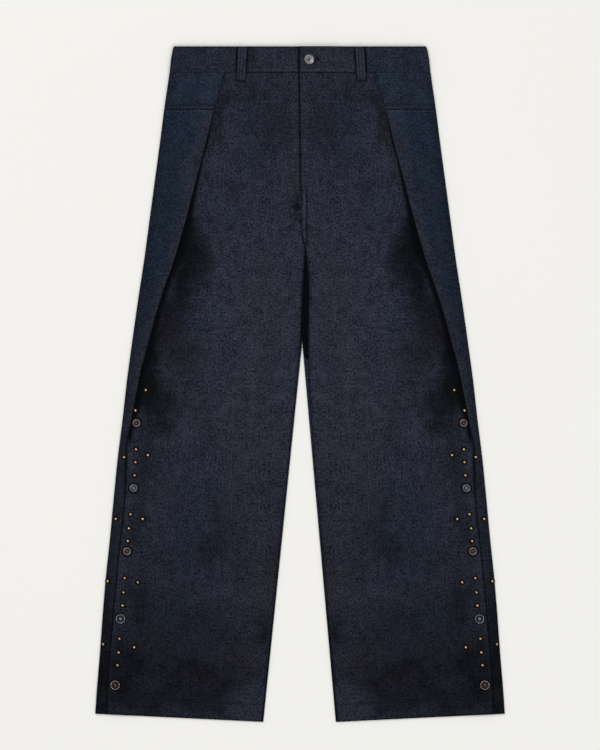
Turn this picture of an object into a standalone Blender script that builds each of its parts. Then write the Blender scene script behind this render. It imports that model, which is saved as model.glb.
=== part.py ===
"""Wide cocoon trousers in dark denim, laid flat on their back with the front up.

X runs across the garment, +Y points from the hems to the waist and Z is up. The floor is z = 0 and the
origin is under the middle of the garment's box. Left and right are as seen from above. Sizes are in
millimetres and become metres where a mesh is made.

A point of the cloth is given by its drop, measured from the waist's top edge towards the hems, by u, its
distance from the centre line on its own side, and by z, the height of the middle of the cloth.
"""
from math import atan2, cos, pi, radians, sin

import bpy
import numpy as np

MM = 0.001
LEFT = -1
RIGHT = 1

# Main sizes
LENGTH = 1080.0
CLOTH = 1.2
BAND_WALL = 2.2
LOOP_WALL = 1.5
SEAM_GAP = 0.3
LAYER_GAP = 0.4
BAND_DEPTH = 41.6
YOKE_SEAM = 101.0
HEM_RISE = 13.0
HEM_RISE_FROM = 60.0
HEM_RISE_TO = 327.0
HEM_RISE_DROP = 700.0
WAIST_LIFT_END = 142.0

# Heights of the middle of each layer
FLOOR_LAYER = CLOTH / 2
INSEAM_RADIUS = 0.9
SIDE_RADIUS = 1.2
FOLD_RADIUS = 1.2
FRONT_LAYER = FLOOR_LAYER + 2 * INSEAM_RADIUS
UNDER_PLEAT = FLOOR_LAYER + CLOTH + LAYER_GAP
RETURN_LAYER = UNDER_PLEAT + CLOTH + LAYER_GAP
FOLD_TOP = RETURN_LAYER + 2 * FOLD_RADIUS
STRIP_TOP = FLOOR_LAYER + 2 * SIDE_RADIUS
BAND_BACK = BAND_WALL / 2
BAND_FRONT = 5.7
BAND_LAP = BAND_FRONT + BAND_WALL + SEAM_GAP

# The pleat, and the lap of the studded edge below it
PLEAT_DEPTH = 28.0
PLEAT_TUCKED = 612.0
PLEAT_END = 622.0
LAP_START = 650.0
LAP_FULL = 680.0
UNDERLAP = 28.0
UNDERLAP_DIP = 0.8
LAP_SLOPE_END = 58.0
EDGE_KNEES = (LAP_SLOPE_END, UNDERLAP, 16.0, 2.0)
PLEAT_SETTLE = 0.56

# The fly
FLY_UNDER = 6.0
SHIELD_WIDTH = 40.0
SHIELD_END = 206.0
FLY_END = 226.0
FLY_FLAT = 250.0
FLY_STEP = CLOTH + LAYER_GAP
FLY_INNER = 42.0
FLY_OUTER = 62.0

# Belt loops: X of each front one at the waist's edge and at its lower end
FRONT_LOOP_LEFT = (-91.8, -94.6)
FRONT_LOOP_RIGHT = (95.2, 98.6)
LOOP_WIDTH = 16.0
LOOP_LENGTH = 56.0
LOOP_BULGE = 1.2
BACK_LOOP_PLACES = (-176.0, 0.0, 176.0)
LOOP_TOP = 0.6
BUMP_FLAT = 9.5
BUMP_END = 20.0
BUMP_DROPS = (58.0, 86.0)

# Metal pieces
SNAP_RADIUS = 7.75
SNAP_HEIGHT = 2.6
STUD_RADIUS = 2.5
STUD_HEIGHT = 1.6
BUTTON_RADIUS = 8.25
BUTTON_X = 14.9
BUTTON_DROP = 21.3
BUTTON_CAP = 2.4
POST_RADIUS = 3.0
KEYHOLE_RADIUS = 3.8
SLIT_WIDTH = 2.4
SLIT_END = 31.0

# How finely the bends and the turned pieces are stepped
INNER_STEPS = 4
SIDE_STEPS = 6
FOLD_STEPS = 5
SNAP_STEPS = 16
STUD_STEPS = 10
BUTTON_STEPS = 24

YOKE_DROPS = (41.9, 50.0, 58.0, 72.0, 86.0, YOKE_SEAM)
LEG_DROPS = (101.3, 140.0, 180.0, 206.0, 226.0, 250.0, 285.0, 309.0, 322.0, 354.0, 389.0, 434.0, 474.0,
             487.0, 500.0, 540.0, 578.0, 604.0, PLEAT_TUCKED, PLEAT_END, 632.0, 641.0, LAP_START, 662.0,
             LAP_FULL, 716.0, 760.0, 810.0, 860.0, 927.0, 1000.0, LENGTH)
FRONT_DROPS = YOKE_DROPS[0::3] + LEG_DROPS


def table(columns, *rows):
    """One array for each named column of a short table."""
    return dict(zip(columns.split(), np.array(rows, dtype=float).T))


def read(rows, column, drop):
    """The value in a column at a drop, between the table's rows in a straight line."""
    return float(np.interp(drop, rows["drop"], rows[column]))


# Outer side of the garment, and the pleat's fold that becomes the studded edge below the pleat
OUTLINE = table(
    "drop side",
    (0, 201.6), (5, 203.6), (21, 206.5), (42, 208.6), (101, 217.4), (149, 223.4), (277, 240.6),
    (341, 249.1), (405, 259.0), (469, 268.0), (533, 276.8), (597, 283.8), (661, 292.0), (725, 298.2),
    (789, 304.0), (853, 310.7), (917, 315.7), (981, 320.0), (1045, 325.3), (1080, 327.5))
FOLD = table(
    "drop edge",
    (42, 121.4), (78, 130.2), (109, 139.8), (140, 146.6), (210, 165.0), (255, 176.5), (300, 188.8),
    (345, 202.2), (389, 218.1), (434, 232.0), (479, 243.8), (517, 254.2), (548, 260.3), (578, 266.4),
    (604, 271.0), (625, 275.7), (655, 277.1), (716, 279.1), (757, 282.6), (792, 287.0), (860, 293.3),
    (927, 298.9), (972, 303.2), (1017, 306.6), (1048, 308.3), (1080, 309.0))
# X of the edges between the legs: the fronts' own edges, and the outer line of the backs
INNER = table(
    "drop front_left front_right back_left back_right",
    (0, -1.45, -1.15, -0.15, 0.15), (110, -0.15, 0.15, 0.6, 0.9), (213, 1.25, 1.55, 1.4, 1.7),
    (270, 1.85, 2.15, 1.8, 2.1), (309, 5.25, 5.55, 2.1, 2.4), (322, 8.35, 8.65, 2.2, 2.5),
    (354, 6.1, 12.6, 2.4, 2.7), (386, 4.3, 14.2, 2.7, 3.0), (416, 2.7, 14.1, 2.9, 3.2),
    (447, 1.8, 13.6, 3.0, 3.5), (474, 0.8, 13.4, 3.0, 4.0), (500, -1.5, 13.4, 0.7, 5.95),
    (533, -4.9, 13.6, -2.7, 8.9), (640, -15.9, 21.3, -13.7, 18.3), (1080, -61.0, 60.1, -58.8, 57.3))
# Turn of the back's inner edge, of the pleat's fold, and height of the fold
TURNS = table(
    "drop inner fold fold_top",
    (0, 0, 180, FOLD_TOP), (474, 0, 180, FOLD_TOP), (487, 110, 180, FOLD_TOP), (500, 180, 180, FOLD_TOP),
    (PLEAT_END, 180, 180, FOLD_TOP), (632, 180, 110, 4.8), (641, 180, 45, 3.7),
    (LAP_START, 180, 0, STRIP_TOP), (LENGTH, 180, 0, STRIP_TOP))
# Length of the pleat's return under the fold, or of the underlap below the pleat
TAILS = table(
    "drop length",
    (42, PLEAT_DEPTH), (PLEAT_END, SEAM_GAP), (LAP_START, SEAM_GAP), (LAP_FULL, UNDERLAP),
    (LENGTH, UNDERLAP))
# How far the front's outer edge runs past the fold line, and how much of its lap height it has reached
FRONT_EDGE = table(
    "drop past lap",
    (42, PLEAT_DEPTH + 2 * FOLD_RADIUS, 0), (PLEAT_TUCKED, 2.6, 0), (PLEAT_END, -SEAM_GAP, 0),
    (LAP_START, -SEAM_GAP, 1), (662, 0.0, 1), (LENGTH, 0.0, 1))
SHIELD = table("drop width", (42, SHIELD_WIDTH), (170, SHIELD_WIDTH), (190, 34), (SHIELD_END, 20))

# Snap caps and studs of one studded edge, given for one side
SNAPS = table("u drop", (261.5, 602), (266.0, 706), (276.5, 807), (287.0, 915), (295.5, 1021))
STUDS = table(
    "u drop",
    (246.6, 549.4), (263.2, 581.9),
    (262.1, 644.0), (243.0, 653.3), (262.9, 664.6), (264.5, 685.6),
    (271.0, 747.8), (251.5, 755.4), (273.6, 770.4), (275.2, 790.6),
    (280.3, 849.9), (259.2, 856.6), (282.1, 872.8), (283.7, 893.6),
    (288.5, 946.9), (265.1, 960.5), (289.9, 968.8), (291.8, 989.1))

NAMES = {LEFT: "left", RIGHT: "right"}


def ease(value, start, end):
    """0 up to start, 1 from end on, and a smooth rise between them."""
    t = min(max((value - start) / (end - start), 0.0), 1.0)
    return t * t * (3 - 2 * t)


def ramp(value, start, end):
    """0 up to start, 1 from end on, and a straight rise between them."""
    return min(max((value - start) / (end - start), 0.0), 1.0)


def waist_lift(drop):
    """Share of the waistband's thickness that the cloth below it still follows."""
    return 1 - ease(drop, BAND_DEPTH, WAIST_LIFT_END)


def loop_bump(x, drop):
    """Rise of the back's cloth over the belt loops that it lies on."""
    nearest = min(abs(x - place) for place in BACK_LOOP_PLACES)
    across = 1 - ramp(nearest, BUMP_FLAT, BUMP_END)
    return (LOOP_WALL + SEAM_GAP) * across * (1 - ramp(drop, *BUMP_DROPS))


def row_rise(u, drop):
    """How far a row rises towards the outer side, so that the hem slants."""
    return HEM_RISE * ramp(u, HEM_RISE_FROM, HEM_RISE_TO) * ease(drop, HEM_RISE_DROP, LENGTH)


def world(side, u, z, drop):
    """Place of a point in metres."""
    return (side * u * MM, (LENGTH / 2 - drop + row_rise(u, drop)) * MM, z * MM)


def bend(start, heading, turn, radius, steps):
    """Points after start on an arc whose length is that of a half turn, turned by any angle."""
    chord = 2 * radius * sin(pi / (2 * steps))
    points = []
    u, z = start
    for step in range(steps):
        direction = heading + turn * (step + 0.5) / steps
        u += chord * cos(direction)
        z += chord * sin(direction)
        points.append((u, z))
    return points


def reach(turn, radius, steps):
    """How far a bend and its cloth reach past the bend's start."""
    arc = bend((0.0, 0.0), 0.0, turn, radius, steps)
    furthest = max(max(point[0] for point in arc), arc[-1][0] + SEAM_GAP * cos(turn))
    return furthest + CLOTH / 2 * sin(min(turn, pi / 2))


def spread(start, end, count):
    """Points after start on a straight line, the last one at its end."""
    steps = [(index + 1) / count for index in range(count)]
    return [(start[0] + (end[0] - start[0]) * t, start[1] + (end[1] - start[1]) * t) for t in steps]


def inner_curl(side, drop):
    """The back's inner edge: flat at the centre seam, turned up and over at the inseam."""
    name = NAMES[side]
    edge = side * read(INNER, "back_" + name, drop)
    front = side * read(INNER, "front_" + name, drop)
    turn = radians(read(TURNS, "inner", drop))
    floor = FLOOR_LAYER + loop_bump(side * edge, drop)
    start = (edge + reach(turn, INSEAM_RADIUS, INNER_STEPS), floor)
    arc = bend(start, pi, -turn, INSEAM_RADIUS, INNER_STEPS)
    tail = SEAM_GAP
    if turn >= pi:
        tail = front - SEAM_GAP - start[0]
    last = (arc[-1][0] + tail * cos(pi - turn), arc[-1][1] + tail * sin(pi - turn))
    return [last] + arc[::-1] + [start]


def flat_back(side, drop, start, end):
    """The back's cloth on the floor; above the yoke seam it rises over the belt loops."""
    if drop <= YOKE_SEAM:
        outer = BACK_LOOP_PLACES[-1]
        us = [BUMP_FLAT, BUMP_END, 90.0, outer - BUMP_END, outer - BUMP_FLAT, outer + BUMP_FLAT]
        us += [outer + BUMP_END, end]
    else:
        us = [start + (end - start) * t for t in (0.25, 0.5, 0.75, 1.0)]
    return [(u, FLOOR_LAYER + loop_bump(side * u, drop)) for u in us]


def pleat_tail(start, drop, turn):
    """The return under the pleat's fold, or the underlap below the pleat."""
    length = read(TAILS, "length", drop)
    points = []
    for share in (0.5, 1.0):
        run = length * share
        dip = UNDERLAP_DIP * max(cos(turn), 0.0) * run / UNDERLAP
        points.append((start[0] + run * cos(pi + turn), start[1] + run * sin(pi + turn) - dip))
    return points


def side_top(start, end, drop):
    """The side panel's upper cloth, from the outer side to the start of the fold."""
    run = start[0] - end[0]
    if drop > PLEAT_END:
        knee = (end[0] + 0.3 * run, end[1])
    else:
        depth = min(max(read(TAILS, "length", drop), 4.0), 0.5 * run)
        knee = (end[0] + depth, end[1] - PLEAT_SETTLE)
    return spread(start, knee, 3) + spread(knee, end, 2)


def back_row(side, drop):
    """Section of the cloth from the inner edge across the back, round the side and over to the pleat."""
    points = inner_curl(side, drop)
    radius = SIDE_RADIUS + (BAND_FRONT - STRIP_TOP) / 2 * waist_lift(drop)
    side_start = read(OUTLINE, "side", drop) - CLOTH / 2 - radius
    points += flat_back(side, drop, points[-1][0], side_start)
    points += bend(points[-1], 0.0, pi, radius, SIDE_STEPS)
    turn = radians(read(TURNS, "fold", drop))
    fold_start = (read(FOLD, "edge", drop) + reach(turn, FOLD_RADIUS, FOLD_STEPS),
                  read(TURNS, "fold_top", drop))
    points += side_top(points[-1], fold_start, drop)
    points += bend(fold_start, pi, turn, FOLD_RADIUS, FOLD_STEPS)
    points += pleat_tail(points[-1], drop, turn)
    return points


def front_height(side, u, drop):
    """Height of the middle of the front's cloth."""
    fold = read(FOLD, "edge", drop)
    body = FRONT_LAYER + (BAND_FRONT - FRONT_LAYER) * waist_lift(drop)
    under = body + (UNDER_PLEAT - body) * ramp(u, fold - EDGE_KNEES[2], fold - EDGE_KNEES[3])
    over = STRIP_TOP + CLOTH + LAYER_GAP - UNDERLAP_DIP * (fold - u) / UNDERLAP
    knee = STRIP_TOP + CLOTH + LAYER_GAP - UNDERLAP_DIP
    if u < fold - UNDERLAP:
        over = body + (knee - body) * ramp(u, fold - LAP_SLOPE_END, fold - UNDERLAP)
    lap = read(FRONT_EDGE, "lap", drop)
    height = under + (over - under) * lap
    if side == RIGHT:
        height += FLY_STEP * (1 - ramp(u, FLY_INNER, FLY_OUTER)) * (1 - ramp(drop, FLY_END, FLY_FLAT))
    return height


def front_row(side, drop):
    """Section of the front from its inner edge to its edge in the pleat or on the side strip."""
    fold = read(FOLD, "edge", drop)
    inner = side * read(INNER, "front_" + NAMES[side], drop)
    if side == LEFT:
        inner -= (FLY_UNDER + SEAM_GAP) * (1 - ramp(drop, SHIELD_END, FLY_END))
    outer = fold + read(FRONT_EDGE, "past", drop)
    knees = [fold - distance for distance in EDGE_KNEES]
    us = [inner, inner + 6.0, inner + 24.0, max(inner, 0.0) + FLY_INNER, max(inner, 0.0) + FLY_OUTER]
    us += [us[-1] + (knees[0] - us[-1]) * share for share in (1 / 3, 2 / 3)]
    us += knees
    us += [(us[-1] + outer) / 2, outer]
    return [(u, front_height(side, u, drop)) for u in us]


def surface_object(name, rows, wall, collection, material):
    """A shell of the given wall on a grid of points, one row after another."""
    mesh = bpy.data.meshes.new(name)
    width = len(rows[0])
    points = [point for row in rows for point in row]
    faces = []
    for row in range(len(rows) - 1):
        for column in range(width - 1):
            corner = row * width + column
            faces.append((corner, corner + 1, corner + width + 1, corner + width))
    mesh.from_pydata(points, [], faces)
    mesh.materials.append(material)
    mesh.shade_smooth()
    shell = bpy.data.objects.new(name, mesh)
    collection.objects.link(shell)
    solidify = shell.modifiers.new("wall", "SOLIDIFY")
    solidify.thickness = wall * MM
    solidify.offset = 0.0
    solidify.use_even_offset = True
    solidify.use_quality_normals = True
    return shell


def cloth_panel(name, side, drops, section, collection, material):
    """A cloth panel from its section at each drop."""
    rows = [[world(side, u, z, drop) for u, z in section(side, drop)] for drop in drops]
    return surface_object(name, rows, CLOTH, collection, material)


def fly_shield(collection, material):
    """The strip behind the centre front, beside the left front's edge."""
    rows = []
    for drop in [row for row in FRONT_DROPS if row <= SHIELD_END]:
        start = read(INNER, "front_left", drop) + FLY_UNDER + 2 * SEAM_GAP
        end = start + read(SHIELD, "width", drop) - FLY_UNDER
        us = [start + (end - start) * share for share in (0.0, 0.35, 0.7, 1.0)]
        rows.append([world(RIGHT, u, front_height(LEFT, u, drop), drop) for u in us])
    return surface_object("fly_shield", rows, CLOTH, collection, material)


def band_path(drop):
    """Section of the waistband: from its underlap, round the left side and the back, to its top end."""
    radius = (BAND_FRONT - BAND_BACK) / 2
    turn_start = read(OUTLINE, "side", drop) - BAND_WALL / 2 - radius
    around = (-BUMP_END, -BUMP_FLAT, BUMP_FLAT, BUMP_END)
    points = [(SHIELD_WIDTH, BAND_FRONT), (0.0, BAND_FRONT), (-60.0, BAND_FRONT), (-140.0, BAND_FRONT)]
    left = [(-u, z) for u, z in bend((turn_start, BAND_BACK), 0.0, pi, radius, SIDE_STEPS)]
    points += left[::-1] + [(-turn_start, BAND_BACK)]
    xs = [place + step for place in BACK_LOOP_PLACES for step in around]
    points += [(x, BAND_BACK + loop_bump(x, 0.0)) for x in xs]
    points += [(turn_start, BAND_BACK)]
    points += bend((turn_start, BAND_BACK), 0.0, pi, radius, SIDE_STEPS)
    points += [(140.0, BAND_FRONT), (75.0, BAND_FRONT), (58.0, (BAND_FRONT + BAND_LAP) / 2)]
    points += [(FLY_INNER, BAND_LAP), (20.0, BAND_LAP)]
    points += [(read(INNER, "front_right", drop), BAND_LAP)]
    return points


def box_cutter(name, low, high, collection):
    """A box between two corners that only cuts."""
    bpy.ops.mesh.primitive_cube_add(size=1.0)
    cutter = bpy.context.object
    cutter.name = name
    cutter.scale = [(high[axis] - low[axis]) * MM for axis in range(3)]
    cutter.location = [(high[axis] + low[axis]) / 2 * MM for axis in range(3)]
    return hide_cutter(cutter, collection)


def hide_cutter(cutter, collection):
    """Keep a cutter out of the model."""
    for other in cutter.users_collection:
        other.objects.unlink(cutter)
    collection.objects.link(cutter)
    cutter.hide_render = True
    cutter.display_type = "WIRE"
    return cutter


def buttonhole_cutters(collection):
    """The eyelet round the button's post and the slit that runs from it."""
    low = BAND_FRONT + BAND_WALL / 2 + SEAM_GAP / 2
    high = BAND_LAP + BAND_WALL
    y = LENGTH / 2 - BUTTON_DROP
    bpy.ops.mesh.primitive_cylinder_add(vertices=16, radius=KEYHOLE_RADIUS * MM, depth=(high - low) * MM)
    eyelet = bpy.context.object
    eyelet.name = "eyelet_cutter"
    eyelet.location = (BUTTON_X * MM, y * MM, (low + high) / 2 * MM)
    slit = box_cutter("slit_cutter", (BUTTON_X, y - SLIT_WIDTH / 2, low - 0.01),
                      (SLIT_END, y + SLIT_WIDTH / 2, high + 0.01), collection)
    return [hide_cutter(eyelet, collection), slit]


def waistband(collection, cutters, material):
    """The waistband, with the buttonhole cut through its top end only."""
    drops = (0.0, 5.0, 21.0, BAND_DEPTH)
    rows = [[world(RIGHT, x, z, drop) for x, z in band_path(drop)] for drop in drops]
    band = surface_object("waistband", rows, BAND_WALL, collection, material)
    for cutter in buttonhole_cutters(cutters):
        cut = band.modifiers.new(cutter.name, "BOOLEAN")
        cut.operation = "DIFFERENCE"
        cut.solver = "EXACT"
        cut.object = cutter
    return band


def front_loop(name, side, places, collection, material):
    """A belt loop over the waistband's front, sewn down just below it."""
    top_x, low_x = places
    over_band = BAND_FRONT + (BAND_WALL + LOOP_WALL) / 2 + SEAM_GAP
    half = LOOP_WIDTH / 2
    rows = []
    for drop in (LOOP_TOP, 3.0, 8.0, 14.0, 21.0, 28.0, 34.0, 39.0, 46.0, LOOP_LENGTH):
        x = top_x + (low_x - top_x) * drop / LOOP_LENGTH
        sewn = max(front_height(side, side * x + half, drop), front_height(side, side * x - half, drop))
        z = sewn + (CLOTH + LOOP_WALL) / 2 + SEAM_GAP
        if drop < BAND_DEPTH:
            z = over_band + LOOP_BULGE * sin(pi * drop / BAND_DEPTH)
        rows.append([world(RIGHT, x - half, z, drop), world(RIGHT, x + half, z, drop)])
    return surface_object(name, rows, LOOP_WALL, collection, material)


def back_loop(name, x, collection, material):
    """A belt loop of the back, which the garment lies on."""
    edges = (x - LOOP_WIDTH / 2, x + LOOP_WIDTH / 2)
    drops = (LOOP_TOP, LOOP_LENGTH / 2, LOOP_LENGTH)
    rows = [[world(RIGHT, edge, LOOP_WALL / 2, drop) for edge in edges] for drop in drops]
    return surface_object(name, rows, LOOP_WALL, collection, material)


def turned_object(name, profile, steps, collection, material):
    """A piece turned round Z from its profile of radius and height, top to bottom."""
    mesh = bpy.data.meshes.new(name)
    points = [(radius * MM, 0.0, height * MM) for radius, height in profile]
    edges = [(index, index + 1) for index in range(len(points) - 1)]
    mesh.from_pydata(points, edges, [])
    mesh.materials.append(material)
    turned = bpy.data.objects.new(name, mesh)
    collection.objects.link(turned)
    screw = turned.modifiers.new("turn", "SCREW")
    screw.axis = "Z"
    screw.steps = steps
    screw.render_steps = steps
    screw.use_merge_vertices = True
    screw.merge_threshold = 0.00001
    screw.use_smooth_shade = True
    return turned


def seat_on_front(piece, side, u, drop):
    """Set a turned piece on the front's cloth, tilted with it."""
    row = drop + row_rise(u, drop)
    across = (front_height(side, u + 4.0, row) - front_height(side, u - 4.0, row)) / 8.0
    height = front_height(side, u, row) + CLOTH / 2 + SEAM_GAP
    piece.location = (side * u * MM, (LENGTH / 2 - drop) * MM, height * MM)
    piece.rotation_euler = (0.0, -side * atan2(across, 1.0), 0.0)


def snap_profile():
    """A snap cap: a raised rim, a dished face and a stone."""
    rim = SNAP_RADIUS
    top = SNAP_HEIGHT
    return ((0.0, top), (1.8, top - 0.2), (3.0, top - 0.9), (5.2, top - 1.1), (6.6, top - 0.6),
            (rim, top - 1.5), (rim - 0.3, 0.0), (0.0, 0.0))


def stud_profile():
    """A dome stud."""
    return ((0.0, STUD_HEIGHT), (0.55 * STUD_RADIUS, 0.82 * STUD_HEIGHT),
            (0.9 * STUD_RADIUS, 0.42 * STUD_HEIGHT), (STUD_RADIUS, 0.0), (0.0, 0.0))


def tack_button(collection, material):
    """The waist's button: a cap with a raised ring on a post that ends on the underlap."""
    post_low = BAND_FRONT + BAND_WALL / 2 + SEAM_GAP
    cap_low = BAND_LAP + BAND_WALL / 2 + SEAM_GAP - post_low
    top = cap_low + BUTTON_CAP
    profile = ((0.0, top - 0.7), (3.6, top - 0.8), (4.6, top - 0.1), (6.6, top), (7.8, top - 0.6),
               (BUTTON_RADIUS, top - 1.4), (7.9, cap_low), (POST_RADIUS, cap_low), (POST_RADIUS, 0.0),
               (0.0, 0.0))
    button = turned_object("tack_button", profile, BUTTON_STEPS, collection, material)
    button.location = (BUTTON_X * MM, (LENGTH / 2 - BUTTON_DROP) * MM, post_low * MM)
    return button


def finish(name, colour, roughness, metallic):
    """A plain Principled material."""
    material = bpy.data.materials.new(name)
    material.use_nodes = True
    shader = material.node_tree.nodes["Principled BSDF"]
    shader.inputs["Base Color"].default_value = (*colour, 1.0)
    shader.inputs["Roughness"].default_value = roughness
    shader.inputs["Metallic"].default_value = metallic
    return material


def new_collection(name):
    """A collection in the scene."""
    collection = bpy.data.collections.new(name)
    bpy.context.scene.collection.children.link(collection)
    return collection


def clear_scene():
    """Remove every object of the opening scene."""
    for old in list(bpy.data.objects):
        bpy.data.objects.remove(old, do_unlink=True)


def build():
    """Make the whole garment."""
    clear_scene()
    parts = new_collection("cocoon_trousers")
    cutters = new_collection("cutters")
    denim = finish("denim", (0.016, 0.020, 0.036), 0.9, 0.0)
    side_denim = finish("side_denim", (0.014, 0.024, 0.040), 0.9, 0.0)
    brass = finish("brass", (0.62, 0.47, 0.24), 0.35, 1.0)
    old_silver = finish("old_silver", (0.20, 0.19, 0.18), 0.45, 1.0)
    bright_silver = finish("bright_silver", (0.55, 0.55, 0.56), 0.4, 1.0)

    waistband(parts, cutters, denim)
    fly_shield(parts, denim)
    for side in (LEFT, RIGHT):
        name = NAMES[side]
        cloth_panel("yoke_" + name, side, YOKE_DROPS, back_row, parts, side_denim)
        cloth_panel("back_leg_" + name, side, LEG_DROPS, back_row, parts, side_denim)
        cloth_panel("front_leg_" + name, side, FRONT_DROPS, front_row, parts, denim)

    front_loop("loop_front_left", LEFT, FRONT_LOOP_LEFT, parts, denim)
    front_loop("loop_front_right", RIGHT, FRONT_LOOP_RIGHT, parts, denim)
    for name, x in zip(("left", "middle", "right"), BACK_LOOP_PLACES):
        back_loop("loop_back_" + name, x, parts, denim)

    tack_button(parts, bright_silver)
    for side in (LEFT, RIGHT):
        for number, (u, drop) in enumerate(zip(SNAPS["u"], SNAPS["drop"]), 1):
            name = f"snap_{NAMES[side]}_{number}"
            snap = turned_object(name, snap_profile(), SNAP_STEPS, parts, old_silver)
            seat_on_front(snap, side, u, drop)
        for number, (u, drop) in enumerate(zip(STUDS["u"], STUDS["drop"]), 1):
            name = f"stud_{NAMES[side]}_{number:02d}"
            stud = turned_object(name, stud_profile(), STUD_STEPS, parts, brass)
            seat_on_front(stud, side, u, drop)


build()
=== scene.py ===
"""Looks of the cocoon trousers: finely shaped cloth with its sewing, the metal trims, their materials, a pale
floor, soft studio light and a camera straight above the garment.

The cloth follows the same tables of the cut as the solids. A point of it is given in millimetres by its side
(-1 left, 1 right, as seen from above), by u, its distance from the centre line, by its drop below the waist's
edge and by z. Meshes are in metres.
"""
from functools import reduce
from math import atan2, cos, hypot, pi, radians, sin

import bpy
import numpy as np
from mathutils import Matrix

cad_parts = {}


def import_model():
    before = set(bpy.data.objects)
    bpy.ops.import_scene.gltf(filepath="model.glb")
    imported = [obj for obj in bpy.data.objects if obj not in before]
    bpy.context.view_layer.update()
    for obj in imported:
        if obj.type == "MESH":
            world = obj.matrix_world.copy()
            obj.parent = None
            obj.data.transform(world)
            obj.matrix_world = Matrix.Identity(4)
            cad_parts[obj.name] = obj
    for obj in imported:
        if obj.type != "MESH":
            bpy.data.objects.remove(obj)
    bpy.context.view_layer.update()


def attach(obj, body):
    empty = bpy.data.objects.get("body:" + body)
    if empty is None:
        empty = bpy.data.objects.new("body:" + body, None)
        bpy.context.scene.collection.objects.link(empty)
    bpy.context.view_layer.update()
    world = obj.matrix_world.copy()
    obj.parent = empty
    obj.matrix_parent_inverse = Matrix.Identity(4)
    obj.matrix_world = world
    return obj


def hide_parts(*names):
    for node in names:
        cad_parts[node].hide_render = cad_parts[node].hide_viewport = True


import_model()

MM = 0.001
LEFT = -1
RIGHT = 1
SIDES = {LEFT: "left", RIGHT: "right"}

# Main sizes of the cut
LENGTH = 1080.0
CLOTH = 1.2
BAND_WALL = 2.2
LOOP_WALL = 1.5
SEAM_GAP = 0.3
LAYER_GAP = 0.4
BAND_DEPTH = 41.6
PANEL_TOP = 41.9
YOKE_SEAM = 101.0
HEM_RISE = 13.0
HEM_RISE_FROM = 60.0
HEM_RISE_TO = 327.0
HEM_RISE_DROP = 700.0
WAIST_LIFT_END = 142.0

# Heights of the middle of each layer
FLOOR_LAYER = CLOTH / 2
INSEAM_RADIUS = 0.9
SIDE_RADIUS = 1.2
FOLD_RADIUS = 1.2
FRONT_LAYER = FLOOR_LAYER + 2 * INSEAM_RADIUS
UNDER_PLEAT = FLOOR_LAYER + CLOTH + LAYER_GAP
RETURN_LAYER = UNDER_PLEAT + CLOTH + LAYER_GAP
FOLD_TOP = RETURN_LAYER + 2 * FOLD_RADIUS
STRIP_TOP = FLOOR_LAYER + 2 * SIDE_RADIUS
SIDE_SPLIT = 2.6
BAND_BACK = BAND_WALL / 2
BAND_FRONT = 5.7
BAND_LAP = BAND_FRONT + BAND_WALL + SEAM_GAP

# The pleat, and the lap of the studded edge below it
PLEAT_DEPTH = 28.0
PLEAT_TUCKED = 612.0
PLEAT_END = 622.0
LAP_START = 650.0
LAP_FULL = 680.0
UNDERLAP = 28.0
UNDERLAP_DIP = 0.8
LAP_SLOPE_END = 58.0
PLEAT_SETTLE = 0.56

# The fly
FLY_UNDER = 6.0
SHIELD_WIDTH = 40.0
SHIELD_END = 206.0
FLY_END = 226.0
FLY_FLAT = 250.0
FLY_STEP = CLOTH + LAYER_GAP
FLY_INNER = 42.0
FLY_OUTER = 62.0
FLY_SEAM = 35.5
FLY_SEAM_TURN = 176.0

# Belt loops
FRONT_LOOPS = {LEFT: (-91.8, -94.6), RIGHT: (95.2, 98.6)}
LOOP_WIDTH = 16.0
LOOP_LENGTH = 56.0
LOOP_BULGE = 1.2
LOOP_SEWING = 2.6
LOOP_TOP = 0.6
BACK_LOOPS = {"left": -176.0, "middle": 0.0, "right": 176.0}
BUMP_FLAT = 9.5
BUMP_END = 20.0
BUMP_DROPS = (58.0, 86.0)

# Metal trims
SNAP_RADIUS = 7.75
SNAP_HEIGHT = 2.6
BEADS = 18
BEADED_SNAPS = (4, 5)
STUD_RADIUS = 2.5
STUD_HEIGHT = 1.6
BUTTON_RADIUS = 8.25
BUTTON_X = 14.9
BUTTON_DROP = 21.3
BUTTON_CAP = 2.4
POST_RADIUS = 3.0
KEYHOLE_RADIUS = 3.8
SLIT_WIDTH = 2.4
SLIT_END = 31.0

# Sewing
STITCH_PITCH = 3.0
STITCH_LENGTH = 2.5
STITCH_RADIUS = 0.3
STITCH_SIDES = 6
SEWING_STEP = 3.0
THREAD_LIFT = 0.12
YOKE_STITCH = 93.0
HEM_DEPTH = 28.0
EDGE_SEAM = 4.0
EDGE_SEAM_TOP = 656.0
BAND_SEAMS = (3.2, BAND_DEPTH - 2.2)
CENTRE_SEAM = (230.0, 320.0)
CENTRE_SEAM_ROWS = (3.0, 8.0)
CENTRE_SEAM_RIDGE = 7.4
CENTRE_SEAM_SHADE = 10.6
BACK_SEAM_END = 466.0
BACK_ROWS_END = 462.0
SEAM_OPENS = 474.0
LEGS_PART = 500.0
BACK_SEAM_ROWS = (2.6, 8.2)
TAPE_WALL = 0.35
TAPE_WIDTH = 13.0
FLY_TACKS = ((5.0, 227.5), (30.0, 198.0))
FLY_TACK_WIDTH = 7.0
LOOP_TACKS = (2.4, LOOP_LENGTH - 2.2)
LOOP_TACK_WIDTH = 13.0
TACK_PITCH = 0.42
TACK_RADIUS = 0.26
TACK_LIFT = 0.15
HOLE_PITCH = 0.5
HOLE_STITCH = 1.7
HOLE_RADIUS = 0.27

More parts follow.
